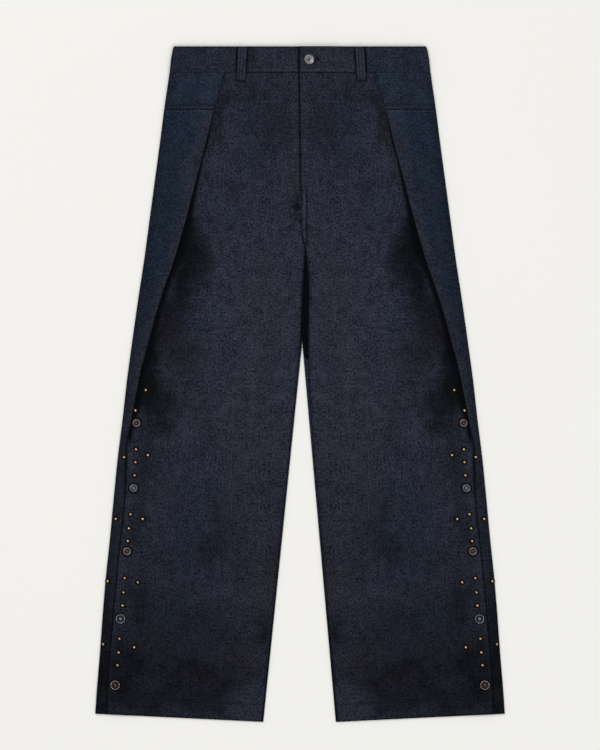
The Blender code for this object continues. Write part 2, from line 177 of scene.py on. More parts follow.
# Rows of points down the waistband, close rows round an edge or a seam with the space that they clear for
# themselves, and the size of the mottling's lattice
BAND_ROWS = (0.0, 0.9, 2.0, 3.4, 5.4, 8.4, 11.6, 14.8, 18.0, 21.2, 24.4, 27.6, 30.8, 34.0, 36.2, 37.4, 38.6,
             39.8, 40.8, BAND_DEPTH)
CLOSE_ROWS = (-3.4, -1.8, -0.8, 0.0, 0.8, 1.8, 3.4)
CLOSE_CLEAR = 4.2
LATTICE = 64

# Where the weave of the left back starts, in millimetres beyond that of the right one
LEFT_WEAVE_START = 900.0

# Camera, floor and light: places and sizes in metres, the lens and the floor's clearance in millimetres
FLOOR_CLEARANCE = 0.1
FLOOR_SIZE = 14.0
CAMERA_HEIGHT = 5.0
CAMERA_Y = 0.0147
CAMERA_LENS = 150.0
SKY_STRENGTH = 0.64
KEY_LIGHT = ("key", (-2.4, 2.7, 6.0), (0.0, -0.1, 0.0), 2.8, 198.0, (1.0, 0.985, 0.965))
FILL_LIGHT = ("fill", (3.2, -3.4, 6.0), (0.0, -0.2, 0.0), 3.4, 161.0, (0.97, 0.99, 1.0))

# Colours of the denim's seam lines and painted shade, stains and painted shadow, and worn spots and painted
# highlights, the last two from dark yarn to light
LINE_AND_SHADE_COLOUR = (0.0009, 0.0010, 0.0014)
STAIN_AND_SHADOW_COLOURS = ((0.0001, 0.0002, 0.0003), (0.0060, 0.0062, 0.0072))
WORN_AND_HIGHLIGHT_COLOURS = ((0.020, 0.024, 0.038), (0.085, 0.095, 0.130))


def table(columns, *rows):
    """One array for each named column of a short table."""
    return dict(zip(columns.split(), np.array(rows, dtype=float).T))


def read(rows, column, drop):
    """The value in a column at a drop, between the table's rows in a straight line."""
    return float(np.interp(drop, rows["drop"], rows[column]))


def smooth(rows, column, drop, window=16.0):
    """The value in a column at a drop, with the table's corners rounded off."""
    drops = rows["drop"]
    half = max(min(window, drop - drops[0], drops[-1] - drop), 0.0)
    return float(np.interp(drop + half * np.linspace(-1, 1, 9), drops, rows[column]).mean())


# Outer side of the garment, and the pleat's fold that becomes the studded edge below the pleat
OUTLINE = table(
    "drop side", (0, 201.6), (5, 203.6), (21, 206.5), (42, 208.6), (101, 217.4), (149, 223.4), (277, 240.6),
    (341, 249.1), (405, 259), (469, 268), (533, 276.8), (597, 283.8), (661, 292), (725, 298.2), (789, 304),
    (853, 310.7), (917, 315.7), (981, 320), (1045, 325.3), (1080, 327.5))
FOLD = table(
    "drop edge", (42, 121.4), (78, 130.2), (109, 139.8), (140, 146.6), (210, 165), (255, 176.5),
    (300, 188.8), (345, 202.2), (389, 218.1), (434, 232), (479, 243.8), (517, 254.2), (548, 260.3),
    (578, 266.4), (604, 271), (625, 275.7), (655, 277.1), (716, 279.1), (757, 282.6), (792, 287),
    (860, 293.3), (927, 298.9), (972, 303.2), (1017, 306.6), (1048, 308.3), (1080, 309))
# X of the edges between the legs: the fronts' own edges, and the outer line of the backs
INNER = table(
    "drop front_left front_right back_left back_right",
    (0, -1.45, -1.15, -0.05, 0.05), (110, -0.15, 0.15, 0.7, 0.8), (213, 1.25, 1.55, 1.5, 1.6),
    (270, 1.85, 2.15, 1.9, 2.0), (309, 5.25, 5.55, 2.2, 2.3), (322, 8.35, 8.65, 2.3, 2.4),
    (354, 6.1, 12.6, 2.4, 2.6), (386, 4.3, 14.2, 2.8, 2.9), (416, 2.7, 14.1, 3.0, 3.1),
    (447, 1.8, 13.6, 3.2, 3.3), (474, 0.8, 13.4, 3.5, 3.6), (500, -1.5, 13.4, 0.7, 5.95),
    (533, -4.9, 13.6, -2.7, 8.9), (640, -15.9, 21.3, -13.7, 18.3), (1080, -61.0, 60.1, -58.8, 57.3))
# Turn of the back's inner edge, of the pleat's fold, and height of the fold
TURNS = table(
    "drop inner fold fold_top", (0, 0, 180, FOLD_TOP), (SEAM_OPENS, 0, 180, FOLD_TOP),
    (487, 110, 180, FOLD_TOP), (LEGS_PART, 180, 180, FOLD_TOP), (PLEAT_END, 180, 180, FOLD_TOP),
    (632, 180, 110, 4.8), (641, 180, 45, 3.7), (LAP_START, 180, 0, STRIP_TOP), (LENGTH, 180, 0, STRIP_TOP))
# Length of the pleat's return under the fold, or of the underlap below the pleat
TAILS = table(
    "drop length", (42, PLEAT_DEPTH), (PLEAT_END, SEAM_GAP), (LAP_START, SEAM_GAP), (LAP_FULL, UNDERLAP),
    (LENGTH, UNDERLAP))
# How far the front's outer edge runs past the fold line, and how much of its lap height it has reached
FRONT_EDGE = table(
    "drop past lap", (42, PLEAT_DEPTH + 2 * FOLD_RADIUS, 0), (PLEAT_TUCKED, 2.6, 0),
    (PLEAT_END, -SEAM_GAP, 0), (LAP_START, -SEAM_GAP, 1), (662, 0, 1), (LENGTH, 0, 1))
SHIELD = table("drop width", (42, SHIELD_WIDTH), (170, SHIELD_WIDTH), (190, 34), (SHIELD_END, 20))

# Snap caps, studs on the front's edge, and the outermost studs, which sit on the side strip
SNAPS = table("u drop", (261.5, 602), (266, 706), (276.5, 807), (287, 915), (295.5, 1021))
STUDS = table(
    "u drop", (246.6, 549.4), (263.2, 581.9),
    (262.1, 644), (243, 653.3), (262.9, 664.6), (264.5, 685.6),
    (271, 747.8), (251.5, 755.4), (273.6, 770.4), (275.2, 790.6),
    (280.3, 849.9), (259.2, 856.6), (282.1, 872.8), (283.7, 893.6),
    (288.5, 946.9), (265.1, 960.5), (289.9, 968.8), (291.8, 989.1))
OUTER_STUDS = table(
    "u drop tilt", (281.3, 656.6, 2), (294.4, 755.4, 5), (307.5, 854.9, 16), (314.9, 955.7, 22))

# Soft ridges (height above 0) and troughs of the fronts' cloth: ends, width, height and bow of each
CREASE = "side u0 drop0 u1 drop1 width height bow"
FRONT_CREASES = table(
    CREASE,
    (RIGHT, 7.5, 232, 10, 322, 1.7, 1.4, -1), (LEFT, 2, 236, 9, 262, 2.6, 1.1, 2),
    (LEFT, 2, 246, 17, 292, 3.2, 1, -1.5), (RIGHT, 13, 246, 22, 306, 3.4, 0.9, -2),
    (LEFT, 5, 270, 38, 246, 4.6, 0.8, 2), (RIGHT, 12, 300, 58, 262, 5.5, 0.9, 3),
    (LEFT, 16, 330, 92, 276, 8, 1, 5), (RIGHT, 20, 356, 108, 318, 9, 0.9, 4),
    (LEFT, 18, 448, 132, 462, 8, 1.1, -4), (RIGHT, 22, 456, 118, 449, 7, 1, 5),
    (LEFT, 60, 118, 84, 330, 13, 1.1, 6), (RIGHT, 74, 132, 96, 372, 14, 1.2, -8),
    (LEFT, 122, 190, 150, 500, 12, 1.3, 8), (RIGHT, 128, 240, 170, 560, 13, 1.2, -6),
    (LEFT, 60, 566, 148, 590, 9, 1, 6), (RIGHT, 48, 606, 126, 588, 8, 0.9, -5),
    (LEFT, 96, 520, 112, 820, 16, 1.6, -10), (LEFT, 176, 620, 206, 1010, 17, 1.5, 9),
    (LEFT, 128, 780, 150, 1050, 13, 1.2, -6), (RIGHT, 86, 560, 108, 860, 15, 1.5, 9),
    (RIGHT, 158, 640, 178, 940, 16, 1.6, -9), (RIGHT, 210, 800, 226, 1050, 12, 1.2, 5),
    (LEFT, 46, 720, 132, 752, 7, 0.8, 5), (RIGHT, 62, 700, 150, 690, 8, 0.8, -6),
    (LEFT, 70, 884, 168, 868, 8, 0.8, 5), (RIGHT, 78, 930, 190, 952, 9, 0.9, -5))
# The same of the side panels beside the pleat
SIDE_CREASES = table(
    CREASE,
    (LEFT, 172, 120, 196, 330, 9, 1.05, 5), (RIGHT, 178, 134, 204, 360, 10, 0.98, -5),
    (LEFT, 196, 250, 236, 470, 7, 0.83, -4), (RIGHT, 202, 280, 238, 480, 7, 0.75, 4),
    (LEFT, 150, 60, 186, 82, 6, 0.6, 3), (RIGHT, 156, 84, 192, 66, 6, 0.68, -3))
# The same of the backs' cloth, seen from below
BACK_CREASES = table(
    CREASE,
    (LEFT, 20, 300, 150, 210, 9, 0.3, 12), (RIGHT, 16, 330, 140, 262, 9, 0.32, -10),
    (LEFT, 30, 470, 190, 430, 8, 0.28, 8), (RIGHT, 40, 500, 200, 520, 9, 0.3, -8),
    (LEFT, 90, 600, 220, 640, 8, 0.26, 9), (RIGHT, 60, 660, 210, 610, 8, 0.28, 7),
    (LEFT, 120, 700, 170, 1000, 14, 0.34, -9), (RIGHT, 160, 690, 190, 980, 13, 0.34, 8))

# Dark washed patches of the fronts, and patches of painted shadow beside the pleat's fold: centre, half
# widths across and along, lean of the long axis towards the outer side in degrees, and how much of the colour
# the patch hides
PATCH = "u drop across along lean dark tint"
FRONT_STAINS_AND_SHADOWS = table(
    PATCH,
    (187, 316, 20, 58, 17, 0.99, 0), (172, 328, 24, 36, 14, 0.97, 0.1), (150, 344, 15, 42, 10, 0.62, 0.1),
    (184, 376, 24, 36, 16, 0.9, 0.2), (200, 414, 30, 40, 20, 0.72, 0.4), (214, 456, 26, 38, 16, 0.62, 0.7),
    (184, 490, 36, 44, 8, 0.54, 0.3), (238, 492, 15, 50, 15, 0.97, 0), (246, 540, 15, 44, 12, 0.92, 0.1),
    (232, 558, 24, 36, 8, 0.84, 0.3), (216, 580, 20, 34, 8, 0.66, 0.4), (180, 560, 18, 30, 8, 0.28, 0.2),
    (230, 602, 24, 22, 6, 0.52, 0.4), (246, 660, 22, 56, 8, 0.5, 0.1), (262, 770, 16, 60, 8, 0.42, 0.1),
    (150, 596, 14, 58, 4, 0.28, 0), (142, 804, 22, 30, 30, 0.48, 0), (130, 760, 15, 30, -30, 0.3, 0),
    (258, 890, 14, 50, 6, 0.35, 0.1), (264, 908, 22, 44, 4, 0.36, 0), (230, 940, 26, 22, 0, 0.2, 0.2),
    (158, 917, 36, 34, 0, 0.16, 0), (180, 930, 70, 44, 0, 0.28, 0), (222, 996, 60, 38, 0, 0.62, 0.2),
    (150, 1016, 62, 26, 0, 0.66, 0.6), (288, 1012, 38, 64, 4, 0.8, 0.1), (96, 986, 40, 28, 70, 0.12, 0.7),
    (42, 122, 22, 38, -10, 0.32, 0), (66, 168, 16, 30, 20, 0.24, 0), (104, 236, 17, 26, 0, 0.26, 0),
    (120, 84, 8, 20, 14, 0.55, 0.1), (131, 108, 9, 26, 14, 0.5, 0.3), (140, 142, 10, 28, 14, 0.38, 0.7),
    (156, 206, 8, 44, 14, 0.3, 0.5), (88, 76, 22, 14, 0, 0.28, 0.1), (56, 66, 34, 12, 0, 0.2, 0),
    (170, 1058, 110, 7, 0, 0.34, 0), (200, 1048, 54, 18, 0, 0.38, 0.1), (36, 840, 20, 46, 4, 0.12, 0.7),
    (60, 944, 12, 22, 6, 0.6, 0.2))
# Bluer areas of the fronts
FRONT_BLUES = table(
    PATCH,
    (70, 130, 44, 80, 0, 0, 0.7), (120, 250, 30, 70, 14, 0, 0.4), (160, 430, 24, 60, 10, 0, 0.5),
    (170, 780, 56, 110, 0, 0, 0.85), (204, 920, 56, 60, 0, 0, 1), (140, 950, 44, 60, 0, 0, 0.7),
    (60, 1010, 34, 50, 0, 0, 0.5), (200, 1060, 90, 16, 0, 0, 0.5))
# Pinker areas of the fronts
FRONT_WARMS = table(
    PATCH, (60, 420, 44, 110, 0, 0, 0.35), (80, 620, 50, 130, 0, 0, 0.45), (50, 860, 40, 90, 0, 0, 0.6))
# Dark crumple of the centre seam below the fly, stained and in painted shade, on the left front and on the
# right
SEAM_STAINS_AND_SHADE = table(
    "side " + PATCH,
    (LEFT, 3, 264, 5, 13, 0, 0.99, 0), (LEFT, 5, 246, 3, 12, 20, 0.3, 0.1),
    (LEFT, -1, 300, 3.5, 14, -8, 0.75, 0), (RIGHT, 3, 296, 3, 18, 6, 0.7, 0),
    (LEFT, 10, 264, 6, 18, 10, 0.48, 0), (LEFT, 6, 196, 6, 40, 0, 0.12, 0.9),
    (RIGHT, 2, 256, 2.5, 30, 0, 0.5, 0))
# How much darker the fronts are towards the waist and the hems
FADE = table(
    "drop dark", (42, 0.24), (120, 0.17), (240, 0.05), (380, 0), (560, 0), (640, 0.1), (740, 0.24),
    (880, 0.31), (980, 0.44), (1046, 0.54), (1054, 0.48), (LENGTH, 0.56))
# The same of the side panels and the strip below them
SIDE_FADE = table(
    "drop dark", (42, 0.05), (101, 0.09), (160, 0.18), (330, 0.28), (480, 0.23), (620, 0.24), (720, 0.34),
    (820, 0.48), (900, 0.64), (965, 0.88), (1010, 0.97), (LENGTH, 0.98))


def ramp(value, start, end):
    """0 up to start, 1 from end on, and a straight rise between them."""
    return np.clip((np.asarray(value, dtype=float) - start) / (end - start), 0.0, 1.0)


def ease(value, start, end):
    """0 up to start, 1 from end on, and a smooth rise between them."""
    t = ramp(value, start, end)
    return t * t * (3.0 - 2.0 * t)


def between(value, start, full, fade, end):
    """1 from full to fade, and a smooth fall to 0 at start and at end."""
    return ease(value, start, full) * (1 - ease(value, fade, end))


def hump(distance, width):
    """1 on a line, falling off smoothly to both sides of it."""
    return np.exp(-(np.asarray(distance, dtype=float) / width) ** 2)


def most(*values):
    """The largest of several values at each point."""
    return reduce(np.maximum, values)


def mottle(x, y, size, seed):
    """Smooth uneven values from 0 to 1, with spots of about the given size."""
    lattice = np.random.default_rng(seed).random((LATTICE, LATTICE))
    gx, gy = np.asarray(x, dtype=float) / size, np.asarray(y, dtype=float) / size
    ix, iy = np.floor(gx).astype(int), np.floor(gy).astype(int)
    tx, ty = gx - ix, gy - iy
    tx, ty = tx * tx * (3 - 2 * tx), ty * ty * (3 - 2 * ty)
    column, beside = ix % LATTICE, (ix + 1) % LATTICE
    low, high = (lattice[column, row % LATTICE] * (1 - tx) + lattice[beside, row % LATTICE] * tx
                 for row in (iy, iy + 1))
    return low * (1 - ty) + high * ty


def steps(start, end, spacing, close=()):
    """Drops from start to end about spacing apart, with finer ones around each drop in close."""
    drops = set(np.linspace(start, end, round((end - start) / spacing) + 1))
    for place in close:
        drops = {drop for drop in drops if abs(drop - place) > CLOSE_CLEAR or drop in (start, end)}
        drops |= {place + away for away in CLOSE_ROWS}
    return sorted(drop for drop in drops if start <= drop <= end)


def spans(stops, counts):
    """Values from the first stop to the last with the given number of steps between each two stops."""
    values = [stops[0]]
    for start, end, count in zip(stops, stops[1:], counts):
        values += [start + (end - start) * (step + 1) / count for step in range(count)]
    return np.array(values)


def fold_at(drop):
    """Distance from the centre line of the pleat's fold, or of the studded edge below it."""
    return smooth(FOLD, "edge", drop)


def outline_at(drop):
    """Distance from the centre line of the garment's outer side."""
    return smooth(OUTLINE, "side", drop)


def inner_at(side, layer, drop, window=6.0):
    """Distance from the centre line of a front's or a back's own inner edge."""
    return side * smooth(INNER, f"{layer}_{SIDES[side]}", drop, window)


def front_inner(side, drop):
    """The same of a front as it lies: on the left its end is under the fly."""
    under = (FLY_UNDER + SEAM_GAP) * (1 - ramp(drop, SHIELD_END, FLY_END))
    return inner_at(side, "front", drop) - (under if side == LEFT else 0.0)


def waist_lift(drop):
    """Share of the waistband's thickness that the cloth below it still follows."""
    return 1 - ease(drop, BAND_DEPTH, WAIST_LIFT_END)


def loop_bump(x, drop):
    """Rise of the back's cloth over the belt loops that it lies on."""
    nearest = np.min([np.abs(x - place) for place in BACK_LOOPS.values()], axis=0)
    return (LOOP_WALL + SEAM_GAP) * (1 - ramp(nearest, BUMP_FLAT, BUMP_END)) * (1 - ramp(drop, *BUMP_DROPS))


def row_rise(u, drop):
    """How far a row rises towards the outer side, so that the hem slants."""
    return HEM_RISE * ramp(u, HEM_RISE_FROM, HEM_RISE_TO) * ease(drop, HEM_RISE_DROP, LENGTH)


def world(side, u, z, drop):
    """Places of points in metres."""
    u = np.asarray(u, dtype=float)
    return np.stack(np.broadcast_arrays(side * u, LENGTH / 2 - drop + row_rise(u, drop), z), axis=-1) * MM


def crease_relief(creases, side, u, drop):
    """Sum of a table's soft ridges and troughs at points of one side."""
    total = np.zeros_like(u)
    for index, (owner, u0, drop0, u1, drop1, width, height, bow) in enumerate(zip(*creases.values())):
        if owner == side:
            length = hypot(u1 - u0, drop1 - drop0)
            along = ((u - u0) * (u1 - u0) + (drop - drop0) * (drop1 - drop0)) / length ** 2
            arch = np.sin(pi * np.clip(along, 0.0, 1.0))
            away = ((u - u0) * (drop1 - drop0) - (drop - drop0) * (u1 - u0)) / length - bow * arch
            rise = np.clip(arch, 0.0, 1.0) ** 0.7 * (1 + 0.25 * np.sin(7 * along + index))
            total = total + height * rise * hump(away, width * (0.8 + 0.4 * np.clip(along, 0.0, 1.0)))
    return total


def swell(side, u, drop):
    """Slow uneven swell of pressed cloth, from 0 to 1."""
    slow = np.sin(u / 37 + drop / 83 + side * 1.3) * np.sin(drop / 61 - u / 97 + side * 0.7)
    quick = np.sin(u / 19 - drop / 47 + side * 2.1) * np.sin(drop / 29 + u / 41)
    return 0.5 + 0.32 * slow + 0.18 * quick


def pucker(along, away, height):
    """Small gathers of the cloth beside a line of sewing."""
    wave = np.sin(along / 1.9 + 1.7 * np.sin(along / 13)) * (0.6 + 0.4 * np.sin(along / 27 + 1))
    return height * wave * np.exp(-np.abs(away) / 7.0)


def hem_stitch(u):
    """Drop of the hem's line of sewing."""
    return LENGTH - HEM_DEPTH + 2.0 * ramp(u, 60, 300)


def fly_stitch(drop):
    """Distance from the centre line of the fly's line of sewing."""
    turn = ramp(drop, FLY_SEAM_TURN, FLY_END)
    return 3.0 + (FLY_SEAM - 3.0) * np.sqrt(np.clip(1 - turn ** 2, 0.0, 1.0))


def front_relief(side, u, drop):
    """Creases, swell and gathers of a front's cloth, which stays smooth where trims and layers lie on it."""
    fold, lap = fold_at(drop), read(FRONT_EDGE, "lap", drop)
    relief = 0.55 * swell(side, u, drop) + crease_relief(FRONT_CREASES, side, u, drop)
    relief = relief + pucker(u, drop - PANEL_TOP, 0.22) + pucker(u + 5, drop - hem_stitch(u), 0.30)
    if side == RIGHT and drop < FLY_END + 10:
        relief = relief + pucker(drop, u - fly_stitch(drop), 0.20)
    relief = relief + pucker(drop, u - fold + 5, 0.22) * lap
    loop = side * FRONT_LOOPS[side][1]
    clear = (1 - hump(u - loop, 16) * (1 - ease(drop, 56, 74))) * (0.25 + 0.75 * ease(drop, PANEL_TOP, 56))
    under = (1 - lap) * ease(u, fold - 15, fold - 4)
    studded = 0.85 * ease(drop, 530, 570) * ease(u, fold - 60, fold - 38)
    return np.clip(relief, -0.3, 3.0) * clear * (1 - under) * (1 - studded)


def front_height(side, u, drop):
    """Height of the middle of a front's cloth without its relief."""
    fold = fold_at(drop)
    body = FRONT_LAYER + (BAND_FRONT - FRONT_LAYER) * waist_lift(drop)
    under = body + (UNDER_PLEAT - body) * ease(u, fold - 16, fold - 2)
    over = STRIP_TOP + CLOTH + LAYER_GAP - UNDERLAP_DIP + UNDERLAP_DIP * ramp(u, fold - UNDERLAP, fold)
    over = body + (over - body) * ease(u, fold - LAP_SLOPE_END, fold - UNDERLAP)
    height = under + (over - under) * read(FRONT_EDGE, "lap", drop)
    fly = FLY_STEP * (1 - ease(u, FLY_INNER, FLY_OUTER)) * (1 - ease(drop, FLY_END, FLY_FLAT))
    return height + fly if side == RIGHT else height


def front_top(side, u, drop):
    """Height of a front's upper face."""
    return front_height(side, u, drop) + front_relief(side, u, drop) + CLOTH / 2


def front_row(side, drop):
    """Section of a front from its inner edge to its edge in the pleat or on the side strip."""
    fold, inner = fold_at(drop), front_inner(side, drop)
    outer, body = fold + read(FRONT_EDGE, "past", drop), max(inner, 0.0)
    u = spans([inner, inner + 1.5, inner + 18, body + FLY_INNER, body + FLY_OUTER, fold - LAP_SLOPE_END,
               fold - UNDERLAP, fold - 16, fold - 6, fold - 2, outer], (2, 12, 7, 6, 34, 12, 6, 7, 5, 6))
    rolled = 0.3 * hump(u - inner, 1.2) * ease(drop, FLY_END, FLY_FLAT)
    rolled = rolled + 0.35 * hump(outer - u, 1.4) * read(FRONT_EDGE, "lap", drop)
    return u, front_height(side, u, drop) + front_relief(side, u, drop) - rolled


def bend(start, heading, turn, radius, count):
    """Points after start on an arc whose length is that of a half turn, turned by any angle."""
    chord = 2 * radius * sin(pi / (2 * count))
    headings = heading + turn * (np.arange(count) + 0.5) / count
    return start[0] + np.cumsum(chord * np.cos(headings)), start[1] + np.cumsum(chord * np.sin(headings))


def reach(turn, radius, count):
    """How far a bend and its cloth reach past the bend's start."""
    across, _ = bend((0.0, 0.0), 0.0, turn, radius, count)
    return max(across.max(), across[-1] + SEAM_GAP * cos(turn)) + CLOTH / 2 * sin(min(turn, pi / 2))


def side_relief(side, u, drop):
    """Creases and swell of the side panel's upper cloth."""
    relief = 0.45 * swell(-side, u, drop) + crease_relief(SIDE_CREASES, side, u, drop)
    relief = relief + pucker(u, drop - YOKE_SEAM, 0.26) + pucker(u + 3, drop - hem_stitch(u), 0.22)
    fold, outline = fold_at(drop), outline_at(drop)
    strip = 1 - 0.8 * ease(drop, PLEAT_TUCKED, LAP_FULL)
    free = between(u, fold + 1, fold + 9, outline - 10, outline - 3) * strip
    return np.clip(relief, -0.3, 2.0) * free * (0.2 + 0.8 * ease(drop, PANEL_TOP, 60))


def back_relief(side, u, drop):
    """Shallow troughs of the back's cloth as seen from below, with a groove along each line of sewing."""
    inner, outline = inner_at(side, "back", drop, 16.0), outline_at(drop)
    front = np.clip(front_relief(side, u, drop), 0.0, 1.6)
    body = 0.6 * front * ease(drop, 110, 160) + crease_relief(BACK_CREASES, side, u, drop)
    body = body * between(u, inner + 4, inner + 14, outline - 16, outline - 6)
    body = body * (1 - ease(drop, LENGTH - 16, LENGTH - 2))
    grooves = 0.28 * hump(drop - YOKE_STITCH, 1.2) + 0.28 * hump(drop - hem_stitch(u), 1.2)
    grooves = grooves * ease(u, inner + 1, inner + 6)
    for away in BACK_SEAM_ROWS if side == RIGHT else ():
        row = hump(u - inner - away, 1.2) * (1 - ease(drop, BACK_ROWS_END, SEAM_OPENS))
        grooves = most(grooves, 0.28 * row)
    return body + grooves * (1 - ease(u, outline - 6, outline - 3))


def fold_start(drop):
    """Where the side panel's upper cloth begins to turn under at the fold."""
    turn = radians(read(TURNS, "fold", drop))
    return fold_at(drop) + reach(turn, FOLD_RADIUS, 9), read(TURNS, "fold_top", drop)


def side_bend(drop):
    """Where the back's cloth begins to turn up at the outer side, and the radius of that turn."""
    radius = SIDE_RADIUS + (BAND_FRONT - STRIP_TOP) / 2 * waist_lift(drop)
    return outline_at(drop) - CLOTH / 2 - radius, radius


def side_height(side, u, drop):
    """Height of the middle of the side panel's upper cloth."""
    end_u, end_z = fold_start(drop)
    start_u, radius = side_bend(drop)
    depth, settle = min(max(read(TAILS, "length", drop), 4.0), 0.5 * (start_u - end_u)), PLEAT_SETTLE
    if drop > PLEAT_END:
        depth, settle = 0.3 * (start_u - end_u), 0.0
    line = ([end_u, end_u + depth, start_u], [end_z, end_z - settle, FLOOR_LAYER + 2 * radius])
    rounded = np.interp(np.add.outer(np.linspace(-5, 5, 7), u), *line).mean(axis=0)
    exact = np.interp(u, *line)
    inside = between(u, end_u, end_u + 8, start_u - 8, start_u)
    return exact + (rounded - exact) * inside + side_relief(side, u, drop)


def side_top(side, u, drop):
    """Height of the side panel's upper face."""
    return side_height(side, u, drop) + CLOTH / 2


def back_row(side, drop):
    """Section of the cloth from the inner edge across the back, round the side and over to the pleat."""
    edge, turn = inner_at(side, "back", drop), radians(read(TURNS, "inner", drop))
    start = (edge + reach(turn, INSEAM_RADIUS, 8), FLOOR_LAYER + loop_bump(side * edge, drop))
    arc_u, arc_z = bend(start, pi, -turn, INSEAM_RADIUS, 8)
    tail = inner_at(side, "front", drop) - SEAM_GAP - start[0] if turn >= pi else SEAM_GAP
    side_u, radius = side_bend(drop)
    flat = spans([start[0], start[0] + 12, side_u - 60, side_u], (12, 34, 12))[1:]
    flat_z = FLOOR_LAYER + loop_bump(side * flat, drop) + back_relief(side, flat, drop)
    round_u, round_z = bend((flat[-1], flat_z[-1]), 0.0, pi, radius, 12)
    end_u, end_z = fold_start(drop)
    top = spans([round_u[-1], round_u[-1] - min(3.0, 0.2 * (round_u[-1] - end_u)), end_u], (2, 26))[1:]
    top_z = side_height(side, top, drop)
    top_z[-1] = end_z
    under = radians(read(TURNS, "fold", drop))
    fold_u, fold_z = bend((end_u, end_z), pi, under, FOLD_RADIUS, 9)
    run = read(TAILS, "length", drop) * np.linspace(0, 1, 9)[1:]
    dip = UNDERLAP_DIP * max(cos(under), 0.0) * run / UNDERLAP
    return (np.hstack([arc_u[-1] + tail * cos(pi - turn), arc_u[::-1], start[0], flat, round_u, top,
                       fold_u, fold_u[-1] + run * cos(pi + under)]),
            np.hstack([arc_z[-1] + tail * sin(pi - turn), arc_z[::-1], start[1], flat_z, round_z, top_z,
                       fold_z, fold_z[-1] + run * sin(pi + under) - dip]))


def patches(rows, u, drop):
    """Darkness and tint of a table's patches, each with a soft mottled rim."""
    dark, tint = np.zeros_like(u), np.zeros_like(u)
    wander_u = u + 16 * (mottle(u, drop, 21, 3) - 0.5) + 8 * (mottle(u, drop, 8, 4) - 0.5)
    wander_drop = drop + 22 * (mottle(u, drop, 26, 5) - 0.5)
    for centre, middle, across, along, lean, strength, colour in zip(*rows.values()):
        cosine, sine = cos(radians(lean)), sin(radians(lean))
        x = (wander_u - centre) * cosine - (wander_drop - middle) * sine
        y = (wander_u - centre) * sine + (wander_drop - middle) * cosine
        cover = np.exp(-((x / across) ** 2 + (y / along) ** 2) ** 1.3)
        dark = 1 - (1 - dark) * (1 - strength * cover)
        tint = np.maximum(tint, colour * cover)
    return dark, tint


class Nodes:
    """Short ways to make the nodes of one material."""

    def __init__(self, name):
        self.material = bpy.data.materials.new(name)
        self.material.use_nodes = True
        self.tree = self.material.node_tree

    def connect(self, made, inputs):
        """Link or set a node's inputs, a colour as opaque."""
        for name, value in inputs.items():
            socket = made.inputs[name]
            if isinstance(value, bpy.types.NodeSocket):
                self.tree.links.new(value, socket)
            else:
                socket.default_value = (*value, 1.0) if socket.type == "RGBA" else value

    def make(self, kind, inputs, output, **settings):
        """One output of a new node."""
        made = self.tree.nodes.new("ShaderNode" + kind)
        for setting, value in settings.items():
            setattr(made, setting, value)
        self.connect(made, inputs)
        return made.outputs[output]

    def place(self):
        """Places on the object."""
        return self.make("TexCoord", {}, "Object")

    def attribute(self, name, output="Fac"):
        """A value or place kept at each point of the cloth."""
        return self.make("Attribute", {}, output, attribute_name=name)

    def stretched(self, vector, across, down, turn=0.0):
        """Places scaled across and down the cloth, and turned."""
        return self.make("Mapping", {"Vector": vector, "Scale": (across, down, 1.0),
                                     "Rotation": (0.0, 0.0, radians(turn))}, "Vector")

    def noise(self, vector, scale, detail, roughness=0.5):
        """Uneven values."""
        return self.make("TexNoise", {"Vector": vector, "Scale": scale, "Detail": detail,
                                      "Roughness": roughness}, "Fac")

    def spread(self, value, low, high):
        """A value stretched so that low becomes 0 and high becomes 1."""
        return self.make("MapRange", {"Value": value, "From Min": low, "From Max": high}, "Result",
                         clamp=True)

    def spots(self, vector, scale, detail, roughness, low, high):
        """Noise stretched to clearer spots."""
        return self.spread(self.noise(vector, scale, detail, roughness), low, high)

    def math(self, operation, a, b):
        """The result of a sum on two values."""
        return self.make("Math", {0: a, 1: b}, "Value", operation=operation)

    def times(self, value, share):
        """A value multiplied."""
        return self.math("MULTIPLY", value, share)

    def total(self, *terms):
        """The sum of several values."""
        return reduce(lambda total, term: self.math("ADD", total, term), terms)

    def mix(self, factor, a, b):
        """A colour between two others."""
        return self.make("Mix", {0: factor, 6: a, 7: b}, 2, data_type="RGBA")

    def finish(self, strength, distance, height, **inputs):
        """The material with its bump and its shader's inputs, whose names have _ for a space."""
        named = {name.replace("_", " "): value for name, value in inputs.items()}
        if height:
            named["Normal"] = self.make("Bump", {"Strength": strength, "Distance": distance,
                                                 "Height": height}, "Normal")
        self.connect(self.tree.nodes["Principled BSDF"], named)
        return self.material


def dim(colour, share):
    """A colour made darker."""
    return [value * share for value in colour]


